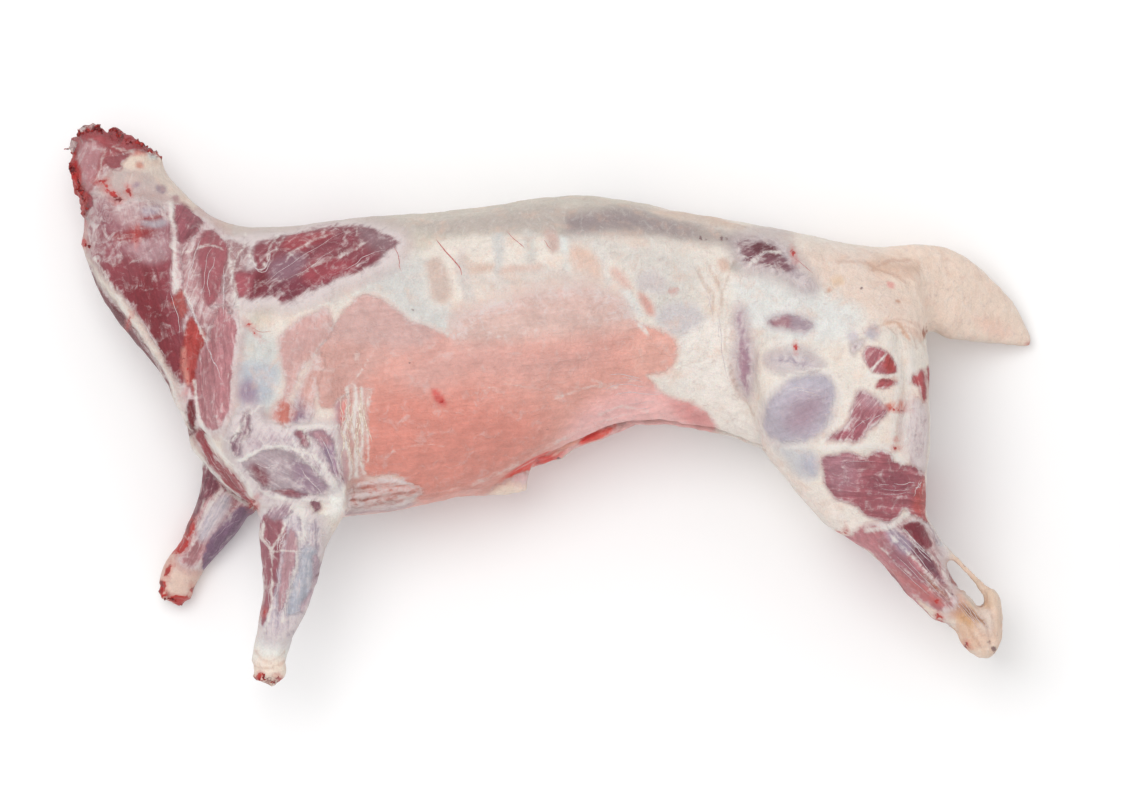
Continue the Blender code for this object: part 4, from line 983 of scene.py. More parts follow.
def inside_distance(places, outline, reach):
    """Distance inside an outline, negative outside, down to -reach."""
    curve = rounded(outline, True)
    found = np.full(len(places), -float(reach))
    low = curve.min(0) - reach
    high = curve.max(0) + reach
    near = np.flatnonzero(((places > low) & (places < high)).all(1))
    if not len(near):
        return found
    close = places[near]
    ends = np.roll(curve, -1, 0)
    gap = line_distance(close, curve, ends)
    inside = np.zeros(len(close), bool)
    for start, end in zip(curve, ends):
        crosses = (start[1] > close[:, 1]) != (end[1] > close[:, 1])
        height = (close[:, 1] - start[1]) / (end[1] - start[1] if end[1] != start[1] else 1)
        inside ^= crosses & (close[:, 0] < start[0] + height * (end[0] - start[0]))
    found[near] = np.maximum(np.where(inside, gap, -gap), -reach)
    return found


def spot_distance(places, x, y, across, along, turn):
    """Distance inside a turned ellipse, roughly, negative outside."""
    angle = math.radians(turn)
    dx = places[:, 0] - x
    dy = y - places[:, 1]
    u = dx * math.cos(angle) + dy * math.sin(angle)
    v = dy * math.cos(angle) - dx * math.sin(angle)
    size = min(across, along)
    return (1 - np.hypot(u / across, v / along)) * size


def mesh_arrays(mesh):
    """A mesh's points and vertex normals."""
    points = np.empty(len(mesh.vertices) * 3)
    mesh.vertices.foreach_get("co", points)
    normals = np.empty(len(mesh.vertices) * 3)
    mesh.vertex_normals.foreach_get("vector", normals)
    return points.reshape(-1, 3), normals.reshape(-1, 3)


def set_points(mesh, points):
    """Move a mesh's points."""
    mesh.vertices.foreach_set("co", np.ascontiguousarray(points).reshape(-1))
    mesh.update()


def apply_modifiers(item):
    """Replace the object's mesh with the one that its modifiers give."""
    graph = bpy.context.evaluated_depsgraph_get()
    mesh = bpy.data.meshes.new_from_object(item.evaluated_get(graph))
    item.modifiers.clear()
    item.data = mesh


def skin_object():
    """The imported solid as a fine, softened skin."""
    item = add_object("carcass_skin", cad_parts["carcass"].data.copy())
    remesh = item.modifiers.new("skin", "REMESH")
    remesh.mode = "VOXEL"
    remesh.voxel_size = SKIN_VOXEL
    smooth = item.modifiers.new("soften", "SMOOTH")
    smooth.factor = SKIN_SOFTENING
    smooth.iterations = SKIN_SMOOTHING
    apply_modifiers(item)
    return item


def mesh_tree(mesh):
    """A search tree of a mesh's faces."""
    points, _ = mesh_arrays(mesh)
    return BVHTree.FromPolygons(points.tolist(), [tuple(face.vertices) for face in mesh.polygons])


def inner_mask(mesh):
    """One at the walls of the body cavity, zero on the outer skin."""
    points, normals = mesh_arrays(mesh)
    tree = mesh_tree(mesh)
    boxed = ((points > CAVITY_LOW) & (points < CAVITY_HIGH)).all(1)
    boxed &= points[:, 1] > CAVITY_LOW[1] + CAVITY_RISE * points[:, 0]
    mask = np.zeros(len(points))
    ahead, back, up = (Vector(way) for way in ((1, 0, 0), (0, 1, 0), (0, 0, 1)))

    def walled(start, *ways):
        return all(tree.ray_cast(start, way)[0] is not None for way in ways)

    for index in np.flatnonzero(boxed):
        normal = Vector(normals[index])
        start = Vector(points[index]) + normal * RAY_LIFT
        deep = points[index][1] > CAVITY_DEEP and walled(start, ahead, -ahead, back)
        if walled(start, up, -up) and (deep or walled(start, normal)):
            mask[index] = 1
    return mask


def triangle_count(mesh):
    """How many triangles a mesh's faces make."""
    return sum(len(face.vertices) - 2 for face in mesh.polygons)


def thin(item, triangles, group):
    """Collapse edges, first those of a vertex group, until so many triangles are left."""
    fewer = item.modifiers.new("thin", "DECIMATE")
    fewer.ratio = min(1.0, triangles / triangle_count(item.data))
    fewer.use_collapse_triangulate = True
    if group:
        fewer.vertex_group = group
        fewer.vertex_group_factor = 1.0
    apply_modifiers(item)


def thin_group(item, chosen, triangles):
    """Thin out the chosen vertices until the whole has so many triangles."""
    group = item.vertex_groups.new(name="chosen")
    group.add([int(index) for index in np.flatnonzero(chosen)], 1.0, "REPLACE")
    thin(item, triangles, "chosen")
    item.vertex_groups.clear()


def thin_hidden(item):
    """Spend the triangles on the sides that show: thin out the cavity, then the underside."""
    inner = inner_mask(item.data)
    kept = 1 - inner.mean() * CAVITY_THINNED
    thin_group(item, inner, int(triangle_count(item.data) * kept))
    _, normals = mesh_arrays(item.data)
    thin_group(item, normals[:, 2] < UNDERSIDE_NORMAL, SKIN_TRIANGLES)
    thin(item, SKIN_TRIANGLES, "")


def paint(values, colour, share):
    """Mix a colour into the points' colours."""
    return values + (np.array(linear(colour)) - values) * share[:, None]


def warped(points, normals, places):
    """Places with a little wander, so that outlines fray. Lower and steep sides wander more."""
    wide = wander(points, WIDE_FRAY)[:, :2]
    fine = wander(points, FINE_FRAY)[:, :2]
    lower = ((normals[:, 2] < 0) & (points[:, 2] < MIDDLE_HEIGHT))[:, None]
    steep = 1 - smoothstep(*STEEP_NORMALS, np.abs(normals[:, 2]))
    steep = (steep * np.interp(places[:, 0], STEEP_PLACES, STEEP_WANDER))[:, None]
    return (places + wide + fine + lower * wander(points, LOWER_FRAY)[:, :2]
            + steep * wander(points, STEEP_FRAY)[:, :2])


def tinted(places, colour, tints):
    """The points' colours with soft changes of colour laid over them in turn."""
    for tint in tints:
        gap = inside_distance(places, tint.outline, tint.feather + 1)
        colour = paint(colour, tint.colour, smoothstep(-tint.feather, tint.feather, gap))
    return colour


def bell(gap, width):
    """One at no distance, falling to nothing over about twice the width."""
    return np.exp(-(gap / width) ** 2)


def flesh_fields(places):
    """Distance into bare flesh, its colour and threads, edge softness, veil, swell and fibre frame."""
    count = len(places)
    inside = np.full(count, -float(REACH))
    colour = np.tile(linear(MAUVE_RED), (count, 1))
    soft = np.full(count, PLAIN_SOFT)
    veil = np.zeros(count)
    swell = np.zeros(count)
    fibre = np.zeros((count, 2))
    threads = np.ones(count)
    for patch in FLESH:
        gap = inside_distance(places, patch.outline, REACH)
        blend = max(OUTLINE_SOFT, patch.soft)
        first = np.maximum(smoothstep(-OUTLINE_SOFT, OUTLINE_SOFT, gap), gap > inside)
        share = np.where(inside > 0, smoothstep(-blend, blend, gap), first)
        colour = paint(colour, patch.colour, share)
        soft += (patch.soft - soft) * share
        veil += (patch.veil - veil) * share
        threads += (THREADS.get(patch.name, 1.0) - threads) * share
        swell += patch.bulge * smoothstep(0, SWELL_REACH, gap)
        angle = math.radians(patch.grain)
        along = places[:, 0] * math.cos(angle) - places[:, 1] * math.sin(angle)
        across = places[:, 0] * math.sin(angle) + places[:, 1] * math.cos(angle)
        fibre = np.where(share[:, None] > 0.5, np.stack((along, across), 1), fibre)
        inside = np.maximum(inside, gap)
    colour = tinted(places, colour, FLESH_TINTS)
    swell -= GROOVE * bell(inside, GROOVE_WIDTH)
    return inside, np.hstack((colour, threads[:, None])), soft, veil, swell, fibre


def ground_colour(places):
    """The colour of the fat and fascia at each place."""
    return tinted(places, np.tile(linear(CREAM), (len(places), 1)), GROUND_TINTS)


def blood_field(places):
    """Distance into the nearest blood spot."""
    inside = np.full(len(places), -float(REACH))
    for spot in BLOOD_SPOTS:
        inside = np.maximum(inside, spot_distance(places, *spot))
    return inside


def pit_field(places):
    """Distance into the nearest of the small pits and scabs."""
    inside = np.full(len(places), -float(REACH))
    for x, y, radius in PITS:
        inside = np.maximum(inside, radius - np.hypot(places[:, 0] - x, places[:, 1] - y))
    return inside


def line_gap(places, line, width):
    """Which places are near a line's curve, and how far they are from it."""
    curve = rounded(line, False)
    reach = 3 * width
    near = np.flatnonzero(((places > curve.min(0) - reach) & (places < curve.max(0) + reach)).all(1))
    return near, line_distance(places[near], curve[:-1], curve[1:])


def band_field(places):
    """Strength of the white bands at each place."""
    strength = np.zeros(len(places))
    for width, most, route in BANDS:
        near, gap = line_gap(places, route, width)
        strength[near] = np.maximum(strength[near], most * bell(gap, width))
    return strength


def torn_field(places):
    """One at the torn ends, falling to zero away from them."""
    torn = np.zeros(len(places))
    for cut, reach in TORN_ENDS:
        curve = rounded(cut, False)
        torn = np.maximum(torn, bell(line_distance(places, curve[:-1], curve[1:]), reach))
    return torn


def fold_fields(places):
    """Height of the folds and furrows at each place, in millimetres, and nearness to a narrow furrow, where
    the material paints shade.
    """
    height = np.zeros(len(places))
    crease_shade = np.zeros(len(places))
    for fold in FOLDS:
        near, gap = line_gap(places, fold.line, fold.width)
        height[near] += fold.height * bell(gap, fold.width)
        if fold.height < 0 and fold.width < CREASE_WIDTH:
            crease_shade[near] = np.maximum(crease_shade[near], bell(gap, CREASE_SHADE_REACH))
    return height, crease_shade


def store(mesh, name, *columns):
    """Keep three or four numbers at each vertex."""
    values = np.stack(columns, 1)
    kind, field = ("FLOAT_COLOR", "color") if len(columns) == 4 else ("FLOAT_VECTOR", "vector")
    layer = mesh.attributes.new(name, kind, "POINT")
    layer.data.foreach_set(field, np.ascontiguousarray(values, np.float32).reshape(-1))


def lumps(points):
    """Uneven heights of flesh and fat, in millimetres."""
    return sum(wander(points, wave)[:, 0] for wave in LUMPS)


def dress(item):
    """Give the skin its relief and the fields that its material reads."""
    mesh = item.data
    points, normals = mesh_arrays(mesh)
    inner = inner_mask(mesh)
    places = warped(points, normals, picture_places(points, normals))
    inside, flesh, soft, veil, swell, fibre = flesh_fields(places)
    torn = torn_field(places)
    bands = band_field(places)
    ragged = wander(points, WIDE_TEARS)[:, 0] + wander(points, FINE_TEARS)[:, 1]
    folds, crease_shade = fold_fields(places)
    outer = swell + folds + bands * BAND_HEIGHT + ragged * torn
    height = (lumps(points) + outer) * (1 - inner) + CAVITY_LINING * inner
    moved = points + normals * height[:, None] * MILLIMETRE
    moved[:, 2] = np.maximum(moved[:, 2], FLOOR_GAP)
    set_points(mesh, moved)
    nothing = np.zeros(len(points))
    store(mesh, "ground", *ground_colour(places).T, bands)
    store(mesh, "flesh", *flesh.T)
    store(mesh, "marks", inside, blood_field(places), pit_field(places))
    store(mesh, "fibre", *fibre.T, veil)
    store(mesh, "zones", inner, soft, torn)
    store(mesh, "crease_shading", crease_shade, nothing, nothing)
    for face in mesh.polygons:
        face.use_smooth = True


class Graph:
    """Short ways to add and join the nodes of one material."""

    def __init__(self, name):
        self.material = bpy.data.materials.new(name)
        self.material.use_nodes = True
        self.tree = self.material.node_tree
        self.shader = self.tree.nodes["Principled BSDF"]

    def node(self, kind, **settings):
        """A new node with some of its settings."""
        made = self.tree.nodes.new(kind)
        for name, value in settings.items():
            setattr(made, name, value)
        return made

    def set(self, socket, value):
        """Put a constant in a socket or join another node's output to it."""
        if isinstance(value, bpy.types.NodeSocket):
            self.tree.links.new(value, socket)
        elif isinstance(value, str):
            socket.default_value = (*linear(value), 1)
        else:
            socket.default_value = value

    def set_all(self, made, **values):
        """Fill a node's inputs by name, with _ for a space."""
        for name, value in values.items():
            self.set(made.inputs[name.replace("_", " ")], value)

    def surface(self, **values):
        """Fill the material's own inputs by name, with _ for a space."""
        self.set_all(self.shader, **values)

    def attribute(self, name):
        """A field that is stored in the mesh."""
        return self.node("ShaderNodeAttribute", attribute_name=name).outputs

    def field(self, name):
        """The three numbers of a stored field."""
        made = self.node("ShaderNodeSeparateXYZ")
        self.set(made.inputs[0], self.attribute(name)["Vector"])
        return made.outputs

    def math(self, operation, *values):
        """One step of arithmetic."""
        made = self.node("ShaderNodeMath", operation=operation)
        for socket, value in zip(made.inputs, (*values, 0.0, 0.0)):
            self.set(socket, value)
        return made.outputs[0]

    def times(self, first, second):
        """The product of two values."""
        return self.math("MULTIPLY", first, second)

    def plus(self, first, second):
        """The sum of two values."""
        return self.math("ADD", first, second)

    def swing(self, value, gain, drop=0.0):
        """A noise that swings by half a gain to each side of zero, less a drop."""
        return self.math("MULTIPLY_ADD", value, gain, -gain / 2 - drop)

    def ramp(self, value, low, high, start=0.0, end=1.0):
        """Start below low, end above high, softly between."""
        made = self.node("ShaderNodeMapRange", interpolation_type="SMOOTHSTEP")
        for socket, given in zip(made.inputs, (value, low, high, start, end)):
            self.set(socket, given)
        return made.outputs[0]

    def mix(self, share, first, second, blend="MIX"):
        """The first colour with a share of the second."""
        made = self.node("ShaderNodeMix", data_type="RGBA", blend_type=blend)
        for socket, value in zip((made.inputs[0], made.inputs[6], made.inputs[7]), (share, first, second)):
            self.set(socket, value)
        return made.outputs[2]

    def speckled(self, colour, value, low, high, dark, light, share=1.0):
        """A colour that a noise makes darker and lighter."""
        gain = self.ramp(value, low, high, dark, light)
        return self.mix(share, colour, self.combine(gain, gain, gain), "MULTIPLY")

    def noise(self, vector, scale, detail, roughness, distortion):
        """A soft noise."""
        made = self.node("ShaderNodeTexNoise")
        self.set_all(made, Vector=vector, Scale=scale, Detail=detail, Roughness=roughness,
                     Distortion=distortion)
        return made.outputs[0]

    def scaled(self, vector, scale, offset):
        """A place, stretched and moved."""
        made = self.node("ShaderNodeMapping")
        self.set_all(made, Vector=vector, Location=offset, Scale=scale)
        return made.outputs[0]

    def combine(self, x, y, z):
        """One vector of three values."""
        made = self.node("ShaderNodeCombineXYZ")
        self.set_all(made, X=x, Y=y, Z=z)
        return made.outputs[0]

    def bump(self, height, strength, distance):
        """Fine relief of the surface."""
        made = self.node("ShaderNodeBump")
        self.set_all(made, Height=height, Strength=strength, Distance=distance)
        self.surface(Normal=made.outputs[0])

    def meat(self, roughness):
        """What all the moist tissues have in common."""
        self.surface(Roughness=roughness, Specular_IOR_Level=0.3, Subsurface_Weight=0.12,
                     Subsurface_Radius=(1.0, 0.45, 0.3), Subsurface_Scale=0.003)


class SkinGraph(Graph):
    """The skin's material, with the noises and stored fields that its parts share.

    The field ground holds the fat's colour and the white bands; flesh the colour of flesh and how
    much its fibres show; marks how far, in pixels, a place is inside flesh, blood and pits; fibre
    the place along and across the fibres, and the veil; zones the cavity, the softness of the
    flesh's edge and the torn ends; crease_shading the nearness to furrows, for painted shade along them.
    """

    def __init__(self):
        super().__init__("skin")
        place = self.node("ShaderNodeTexCoord").outputs["Object"]
        self.blotch = self.noise(place, *BLOTCH)
        self.cloud = self.noise(place, *CLOUD)
        self.mottle = self.noise(place, *MOTTLE)
        self.grain = self.noise(place, *GRAIN)
        self.wisp = self.noise(self.scaled(place, WISP_STRETCH, WISP_OFFSET), *WISP)
        ground = self.attribute("ground")
        flesh = self.attribute("flesh")
        self.ground, self.bands = ground["Color"], ground["Alpha"]
        self.flesh, self.threads = flesh["Color"], flesh["Alpha"]
        self.inside, self.blood, self.pit = self.field("marks")
        self.along, self.across, self.veil = self.field("fibre")
        self.cavity, self.soft, self.torn = self.field("zones")
        self.crease_shade = self.field("crease_shading")[0]
        self.thread = self.fibrous(THREAD, THREAD_STRETCH)
        self.hair = self.fibrous(HAIR, HAIR_STRETCH)
        self.depth = self.math("DIVIDE", self.inside, self.soft)
        self.cover = self.veil_cover()

    def fibrous(self, look, stretch):
        """A noise that runs along the fibres."""
        along, across, offset = stretch
        place = self.combine(self.times(self.along, along), self.times(self.across, across), offset)
        return self.noise(place, *look)

    def veil_cover(self):
        """Where the white veil is thick or thin: streaks along the fibres, mottles and clouds."""
        streaks = self.times(self.swing(self.thread, 1.5), self.ramp(self.threads, 0.0, 1.0, 0.15, 1.0))
        return self.plus(self.plus(streaks, self.swing(self.mottle, 0.4)), self.swing(self.cloud, 1.2))


def fat_colour(graph):
    """Fat and fascia: peach blotches, white wisps and small mottles."""
    colour = graph.ground
    for value, low, high, most, tone in (
            (graph.blotch, 0.48, 0.72, 0.35, BLOTCH_PEACH),
            (graph.wisp, 0.5, 0.75, 0.24, WISP_WHITE),
            (graph.mottle, 0.52, 0.75, 0.36, MOTTLE_GREY)):
        colour = graph.mix(graph.ramp(value, low, high, 0.0, most), colour, tone)
    colour = graph.speckled(colour, graph.cloud, 0.3, 0.7, 0.93, 1.05)
    return graph.speckled(colour, graph.grain, 0.3, 0.7, 0.94, 1.04)


def flesh_colour(graph):
    """Fibres and marbling under a cloudy white veil, which is thicker toward the outline."""
    colour = graph.speckled(graph.flesh, graph.thread, 0.3, 0.7, 0.72, 1.22, graph.threads)
    colour = graph.speckled(colour, graph.hair, 0.3, 0.7, 0.94, 1.05, graph.threads)
    mottled = graph.ramp(graph.threads, 0.0, 1.0, 0.6, 1.0)
    colour = graph.speckled(colour, graph.mottle, 0.3, 0.7, 0.9, 1.08, mottled)
    colour = graph.speckled(colour, graph.blotch, 0.35, 0.65, 0.94, 1.06)
    colour = graph.mix(graph.ramp(graph.cloud, 0.5, 0.75, 0.0, 0.3), colour, VEIL_WHITE)
    amount = graph.plus(graph.times(graph.veil, 0.8), graph.ramp(graph.depth, 0.0, 3.0, 0.3, 0.0))
    veil = graph.ramp(graph.plus(graph.cover, amount), 0.22, 0.85, 0.0, 0.88)
    return graph.mix(veil, colour, VEIL_WHITE)


def shaded_and_clotted(graph, colour):
    """Painted shade along narrow furrows, and torn ends that are red and clotted."""
    # Painted shade: darker lines along the narrow furrows.
    shade_lines = graph.plus(graph.crease_shade, graph.swing(graph.cloud, 3.0, 0.1))
    colour = graph.mix(graph.ramp(shade_lines, 0.2, 1.1, 0.0, 0.34), colour, CREASE_SHADE, "MULTIPLY")
    for value, low, high, most, tone in (
            (graph.mottle, 0.42, 0.56, 0.8, CLOT_RED),
            (graph.cloud, 0.5, 0.6, 0.85, CLOT_DARK),
            (graph.grain, 0.58, 0.72, 0.6, TORN_PALE)):
        share = graph.times(graph.torn, graph.ramp(value, low, high, 0.0, most))
        colour = graph.mix(share, colour, tone)
    return colour


def skin_material():
    """Fat and fascia with bare flesh, bands, blood, pits and the pink cavity, from stored fields."""
    graph = SkinGraph()
    frayed = graph.plus(graph.inside, graph.swing(graph.mottle, 7.0))
    frayed = graph.plus(frayed, graph.swing(graph.grain, 2.4))
    bare = graph.ramp(graph.math("DIVIDE", frayed, graph.soft), -1.0, 1.0)
    near = graph.ramp(graph.inside, -REACH, -0.3 * REACH)
    halo = graph.times(graph.ramp(graph.depth, -3.5, 0.0, 0.0, 0.4), near)
    fat = graph.mix(halo, fat_colour(graph), graph.flesh)
    colour = graph.mix(bare, fat, flesh_colour(graph))
    banded = graph.plus(graph.bands, graph.times(graph.cover, 0.9))
    colour = graph.mix(graph.ramp(banded, 0.2, 1.1, 0.0, 0.9), colour, BAND_WHITE)
    colour = shaded_and_clotted(graph, colour)

    # Blood is bright with dark cores and a faint rim.
    spotted = graph.plus(graph.blood, graph.swing(graph.mottle, 9.0, 0.3))
    bloody = graph.ramp(spotted, -0.6, 0.8, 0.0, 0.9)
    colour = graph.mix(graph.ramp(spotted, -4.5, 0.0, 0.0, 0.4), colour, BLOOD_RIM)
    colour = graph.mix(bloody, colour, graph.mix(graph.ramp(graph.blotch, 0.48, 0.66), BLOOD, CLOT))
    # Small pits get painted shade, scabs their own dark colour.
    pitted = graph.plus(graph.pit, graph.swing(graph.grain, 4.0))
    colour = graph.mix(graph.ramp(pitted, -0.8, 0.9, 0.0, 0.8), colour, PIT_SHADE_AND_SCAB)
    pink = graph.mix(graph.ramp(graph.mottle, 0.35, 0.65), CAVITY_PINK, CAVITY_PALE)
    graph.surface(Base_Color=graph.mix(graph.cavity, colour, pink))

    wet = graph.math("MAXIMUM", bloody, graph.times(bare, 0.45))
    graph.meat(graph.ramp(wet, 0.0, 1.0, 0.52, 0.3))
    relief = graph.times(graph.grain, 0.3)
    for value, height in ((graph.mottle, 0.8), (graph.cloud, 1.6), (graph.wisp, 0.9),
                          (graph.times(graph.thread, bare), 1.2)):
        relief = graph.plus(relief, graph.times(value, height))
    graph.bump(relief, *SKIN_BUMP)
    return graph.material


def plain_material(name, colours, roughness, scale=300):
    """A moist tissue that runs between a light and a dark colour."""
    light, dark = colours
    graph = Graph(name)
    place = graph.node("ShaderNodeTexCoord").outputs["Object"]
    tone = graph.noise(place, scale, 4, 0.6, 0.4)
    graph.surface(Base_Color=graph.mix(graph.ramp(tone, 0.35, 0.65), dark, light))
    graph.meat(roughness)
    graph.bump(tone, *PLAIN_BUMP)
    return graph.material


def along_line(line, share):
    """The point at a share of a curve's length."""
    runs = np.linalg.norm(np.diff(line, axis=0), axis=1)
    reached = np.concatenate(((0,), np.cumsum(runs)))
    at = share * reached[-1]
    return np.array([np.interp(at, reached, line[:, axis]) for axis in (0, 1)])


def surface_point(tree, place, side):
    """Where the sight line through a place meets the skin, from above (1) or from below (-1)."""
    eye = Vector((CAMERA_X, CAMERA_Y, MIDDLE_HEIGHT + side * CAMERA_DISTANCE))
    aim = Vector(((place[0] - PICTURE_WIDTH / 2) * METRES_PER_PIXEL + CAMERA_X,
                  (PICTURE_HEIGHT / 2 - place[1]) * METRES_PER_PIXEL + CAMERA_Y, MIDDLE_HEIGHT))
    point, normal, _, _ = tree.ray_cast(eye, (aim - eye).normalized())
    return (point, normal) if point is not None else None


def join_rings(mesh, rings):
    """Close a row of rings into a solid strand."""
    for first, second in zip(rings, rings[1:]):
        for step in range(len(first)):
            following = (step + 1) % len(first)
            mesh.faces.new((first[step], first[following], second[following], second[step]))
    mesh.faces.new(rings[0][::-1])
    mesh.faces.new(rings[-1])


def add_ring(mesh, middle, side, other, radius):
    """A round ring of vertices."""
    ring = []
    for step in range(TUBE_SIDES):
        angle = 2 * math.pi * step / TUBE_SIDES
        ring.append(mesh.verts.new(middle + (side * math.cos(angle) + other * math.sin(angle)) * radius))
    return ring


def add_tube(mesh, route, radii):
    """A thin tapered tube through points in space, closed at both ends."""
    rings = []
    for index, point in enumerate(route):
        way = (route[min(index + 1, len(route) - 1)] - route[max(index - 1, 0)]).normalized()
        side = way.cross(Vector(TUBE_HINT)).normalized()
        rings.append(add_ring(mesh, point, side, way.cross(side), radii[index]))
    join_rings(mesh, rings)


def add_flake(mesh, root, way, length, width, dice):
    """A flat jagged flake that tapers to its tip."""
    side = way.cross(Vector((dice.uniform(-1, 1), dice.uniform(-1, 1), 0.6))).normalized()
    other = way.cross(side)
    rings = []
    for share, spread in FLAKE_PROFILE:
        ring = []
        for step in range(FLAKE_SIDES):
            angle = 2 * math.pi * step / FLAKE_SIDES
            reach = width * spread * dice.uniform(0.6, 1.25)
            off = side * (math.cos(angle) * reach) + other * (math.sin(angle) * reach * FLAKE_FLATNESS)
            ring.append(mesh.verts.new(root + way * length * share + off))
        rings.append(ring)
    join_rings(mesh, rings)


def add_object(name, data):
    """A new object in the scene."""
    item = bpy.data.objects.new(name, data)
    bpy.context.scene.collection.objects.link(item)
    return item


def mesh_object(name, mesh, material):
    """A shaded object of its own that rides on the carcass."""
    data = bpy.data.meshes.new(name)
    bmesh.ops.recalc_face_normals(mesh, faces=mesh.faces)
    mesh.to_mesh(data)
    mesh.free()
    for face in data.polygons:
        face.use_smooth = True
    data.materials.append(material)
    item = add_object(name, data)
    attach(item, "root")


def lay_strand(mesh, tree, line, width, side, dice):
    """One sinew on the skin along a line of the picture, thin at its ends and half sunk."""
    steps = max(6, int(np.linalg.norm(np.diff(line, axis=0), axis=1).sum() / STRAND_STEP))
    found = []
    sway = dice.uniform(0.6, 1.6)
    phase = dice.uniform(0, 6.3)
    long_wave, short_wave = STRAND_WAVES
    for step in range(steps + 1):
        share = step / steps
        place = along_line(line, share)
        ripple = math.sin(phase * 3 + share * short_wave) * STRAND_RIPPLE
        off = math.sin(phase + share * long_wave) * sway + ripple
        hit = surface_point(tree, place + np.array((off, off * STRAND_LEAN)), side)
        if hit is None:
            continue
        thickness = STRAND_TIP + (1 - STRAND_TIP) * math.sin(math.pi * share) ** STRAND_TAPER
        radius = width * METRES_PER_PIXEL * 0.5 * thickness
        found.append((hit[0] - hit[1] * radius * STRAND_SUNK, radius))
    if len(found) > 3:
        add_tube(mesh, [point for point, _ in found], [radius for _, radius in found])


def sinews(tree):
    """White strands over the flesh, on both sides of the carcass."""
    dice = random.Random(SINEW_SEED)
    mesh = bmesh.new()
    for strands in SINEWS:
        first = rounded(strands.first, False)
        last = rounded(strands.last, False)
        for index in range(strands.count):
            share = (index + dice.uniform(-0.35, 0.35)) / max(strands.count - 1, 1)
            start = dice.uniform(0, 0.45)
            end = dice.uniform(0.6, 1.0)
            line = np.array([along_line(first, t) * (1 - share) + along_line(last, t) * share
                             for t in np.linspace(start, end, 9)])
            width = strands.width * dice.uniform(0.5, 1.15)
            for side in SIDES:
                lay_strand(mesh, tree, line, width, side, dice)
    mesh_object("sinews", mesh, plain_material("sinew", SINEW_COLOURS, 0.42))


def vessels(tree):
    """Fine red vessels under the fascia."""
    dice = random.Random(VESSEL_SEED)
    mesh = bmesh.new()
    for width, route in VESSELS:
        for side in SIDES:
            lay_strand(mesh, tree, rounded(route, False), width, side, dice)
    mesh_object("vessels", mesh, plain_material("vessel", VESSEL_COLOURS, 0.4))


def fringe(tree):
    """Stringy fat in the armpit."""
    dice = random.Random(FRINGE_SEED)
    mesh = bmesh.new()
    curve = rounded(FRINGE_LINE, False)
    for _ in range(FRINGE_STRINGS):
        off = dice.uniform(-FRINGE_SPREAD, FRINGE_SPREAD)
        lean = dice.uniform(-0.35, 0.35)
        start = dice.uniform(0, 0.55)
        end = start + dice.uniform(0.25, 0.45)
        line = np.array([along_line(curve, t) + (off + lean * (t - start) * FRINGE_LEAN, 0)
                         for t in np.linspace(start, min(end, 1.0), 7)])
        for side in SIDES:
            lay_strand(mesh, tree, line, dice.uniform(0.8, 1.8), side, dice)
    mesh_object("armpit_fat", mesh, plain_material("armpit_fat", FRINGE_COLOURS, 0.5))


def flakes(tree, name, rows, material):
    """Torn flakes that stand out of the cut ends, on both sides of the carcass."""
    dice = random.Random(FLAKE_SEED)
    mesh = bmesh.new()
    for count, longest, route in rows:
        curve = rounded(route, False)
        for _ in range(count):
            place = along_line(curve, dice.random()) + (dice.uniform(-1, 4), dice.uniform(-1, 4))
            length = longest * METRES_PER_PIXEL * dice.uniform(0.35, 1.0)
            lean = Vector((dice.uniform(-0.7, 0.7), dice.uniform(-0.7, 0.7), dice.uniform(-0.5, 0.2)))
            for side in SIDES:
                hit = surface_point(tree, place, side)
                if hit is None:
                    continue
                way = (hit[1] * 0.6 + lean).normalized()
                width = length * FLAKE_WIDTH + FLAKE_LEAST
                add_flake(mesh, hit[0] - way * length * FLAKE_SUNK, way, length, width, dice)
    mesh_object(name, mesh, material)


def camera():
    """The picture's view, straight down."""
    data = bpy.data.cameras.new("camera")
    data.sensor_width = SENSOR_WIDTH
    data.lens = SENSOR_WIDTH * CAMERA_DISTANCE / (PICTURE_WIDTH * METRES_PER_PIXEL)
    data.clip_end = CAMERA_REACH
    item = add_object("camera", data)
    item.location = (CAMERA_X, CAMERA_Y, MIDDLE_HEIGHT + CAMERA_DISTANCE)
    bpy.context.scene.camera = item


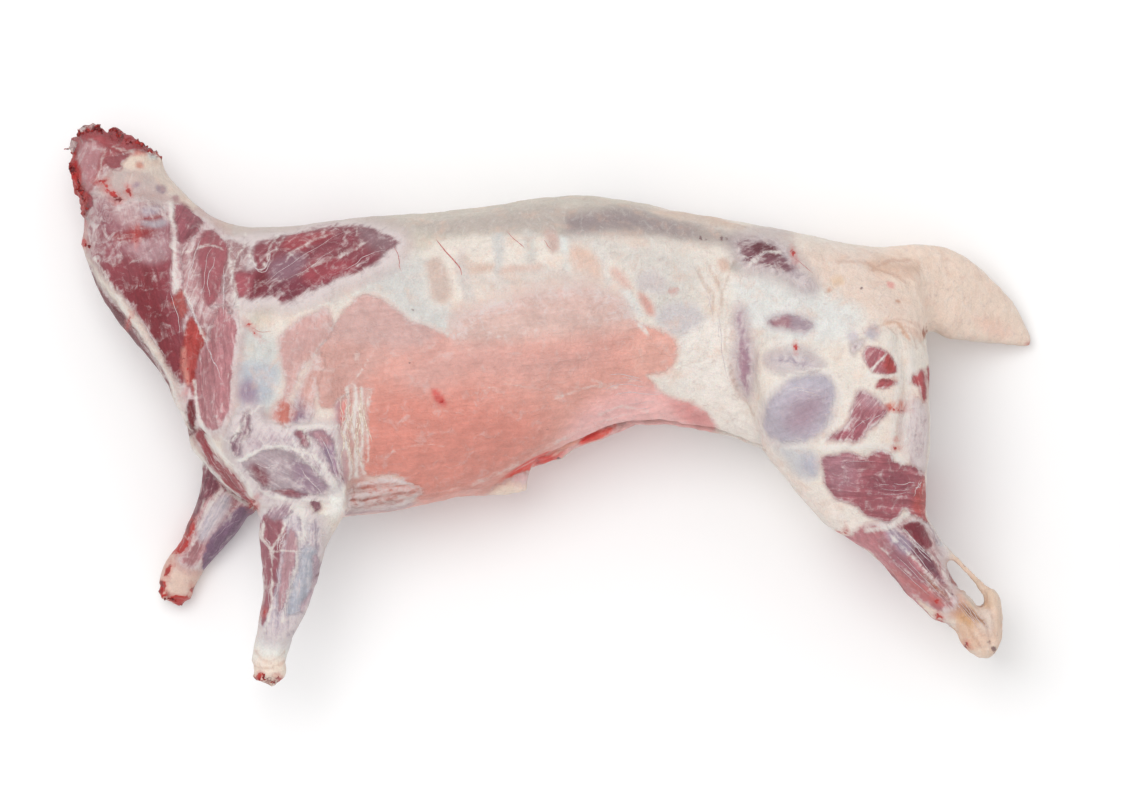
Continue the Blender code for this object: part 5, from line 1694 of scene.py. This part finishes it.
def floor():
    """A plain white floor."""
    mesh = bmesh.new()
    bmesh.ops.create_grid(mesh, x_segments=1, y_segments=1, size=FLOOR_SIZE)
    data = bpy.data.meshes.new("floor")
    mesh.to_mesh(data)
    mesh.free()
    graph = Graph("floor")
    graph.surface(Base_Color=FLOOR_WHITE, Roughness=0.9, Specular_IOR_Level=0.0)
    data.materials.append(graph.material)
    item = add_object("floor", data)
    item.location.z = FLOOR_HEIGHT


def room():
    """A white room, brighter overhead."""
    world = bpy.data.worlds.new("room")
    world.use_nodes = True
    nodes = world.node_tree.nodes
    background = nodes["Background"]
    background.inputs["Color"].default_value = (1, 1, 1, 1)
    height = nodes.new("ShaderNodeSeparateXYZ")
    fade = nodes.new("ShaderNodeMapRange")
    fade.interpolation_type = "SMOOTHSTEP"
    for name, value in (("From Min", 0.0), ("From Max", HORIZON_TOP),
                        ("To Min", HORIZON_LIGHT), ("To Max", ROOM_LIGHT)):
        fade.inputs[name].default_value = value
    links = world.node_tree.links
    links.new(nodes.new("ShaderNodeTexCoord").outputs["Generated"], height.inputs[0])
    links.new(height.outputs["Z"], fade.inputs["Value"])
    links.new(fade.outputs[0], background.inputs["Strength"])
    bpy.context.scene.world = world


def lamp():
    """One large soft lamp above."""
    data = bpy.data.lights.new("lamp", "AREA")
    data.shape = "DISK"
    data.size = LAMP_SIZE
    data.energy = LAMP_WATTS
    item = add_object("lamp", data)
    item.location = LAMP_PLACE
    item.rotation_euler = (Vector(LAMP_AIM) - item.location).to_track_quat("-Z", "Y").to_euler()


noise.seed_set(NOISE_SEED)
skin = skin_object()
thin_hidden(skin)
dress(skin)
skin.data.materials.clear()
skin.data.materials.append(skin_material())
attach(skin, "root")
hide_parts("carcass")
skin_tree = mesh_tree(skin.data)
sinews(skin_tree)
vessels(skin_tree)
fringe(skin_tree)
flakes(skin_tree, "neck_shreds", FLAKES, plain_material("torn", SHRED_COLOURS, 0.3, 240))
flakes(skin_tree, "neck_gristle", GRISTLE, plain_material("gristle", GRISTLE_COLOURS, 0.4, 240))
camera()
floor()
room()
lamp()
bpy.context.scene.view_settings.view_transform = "Standard"
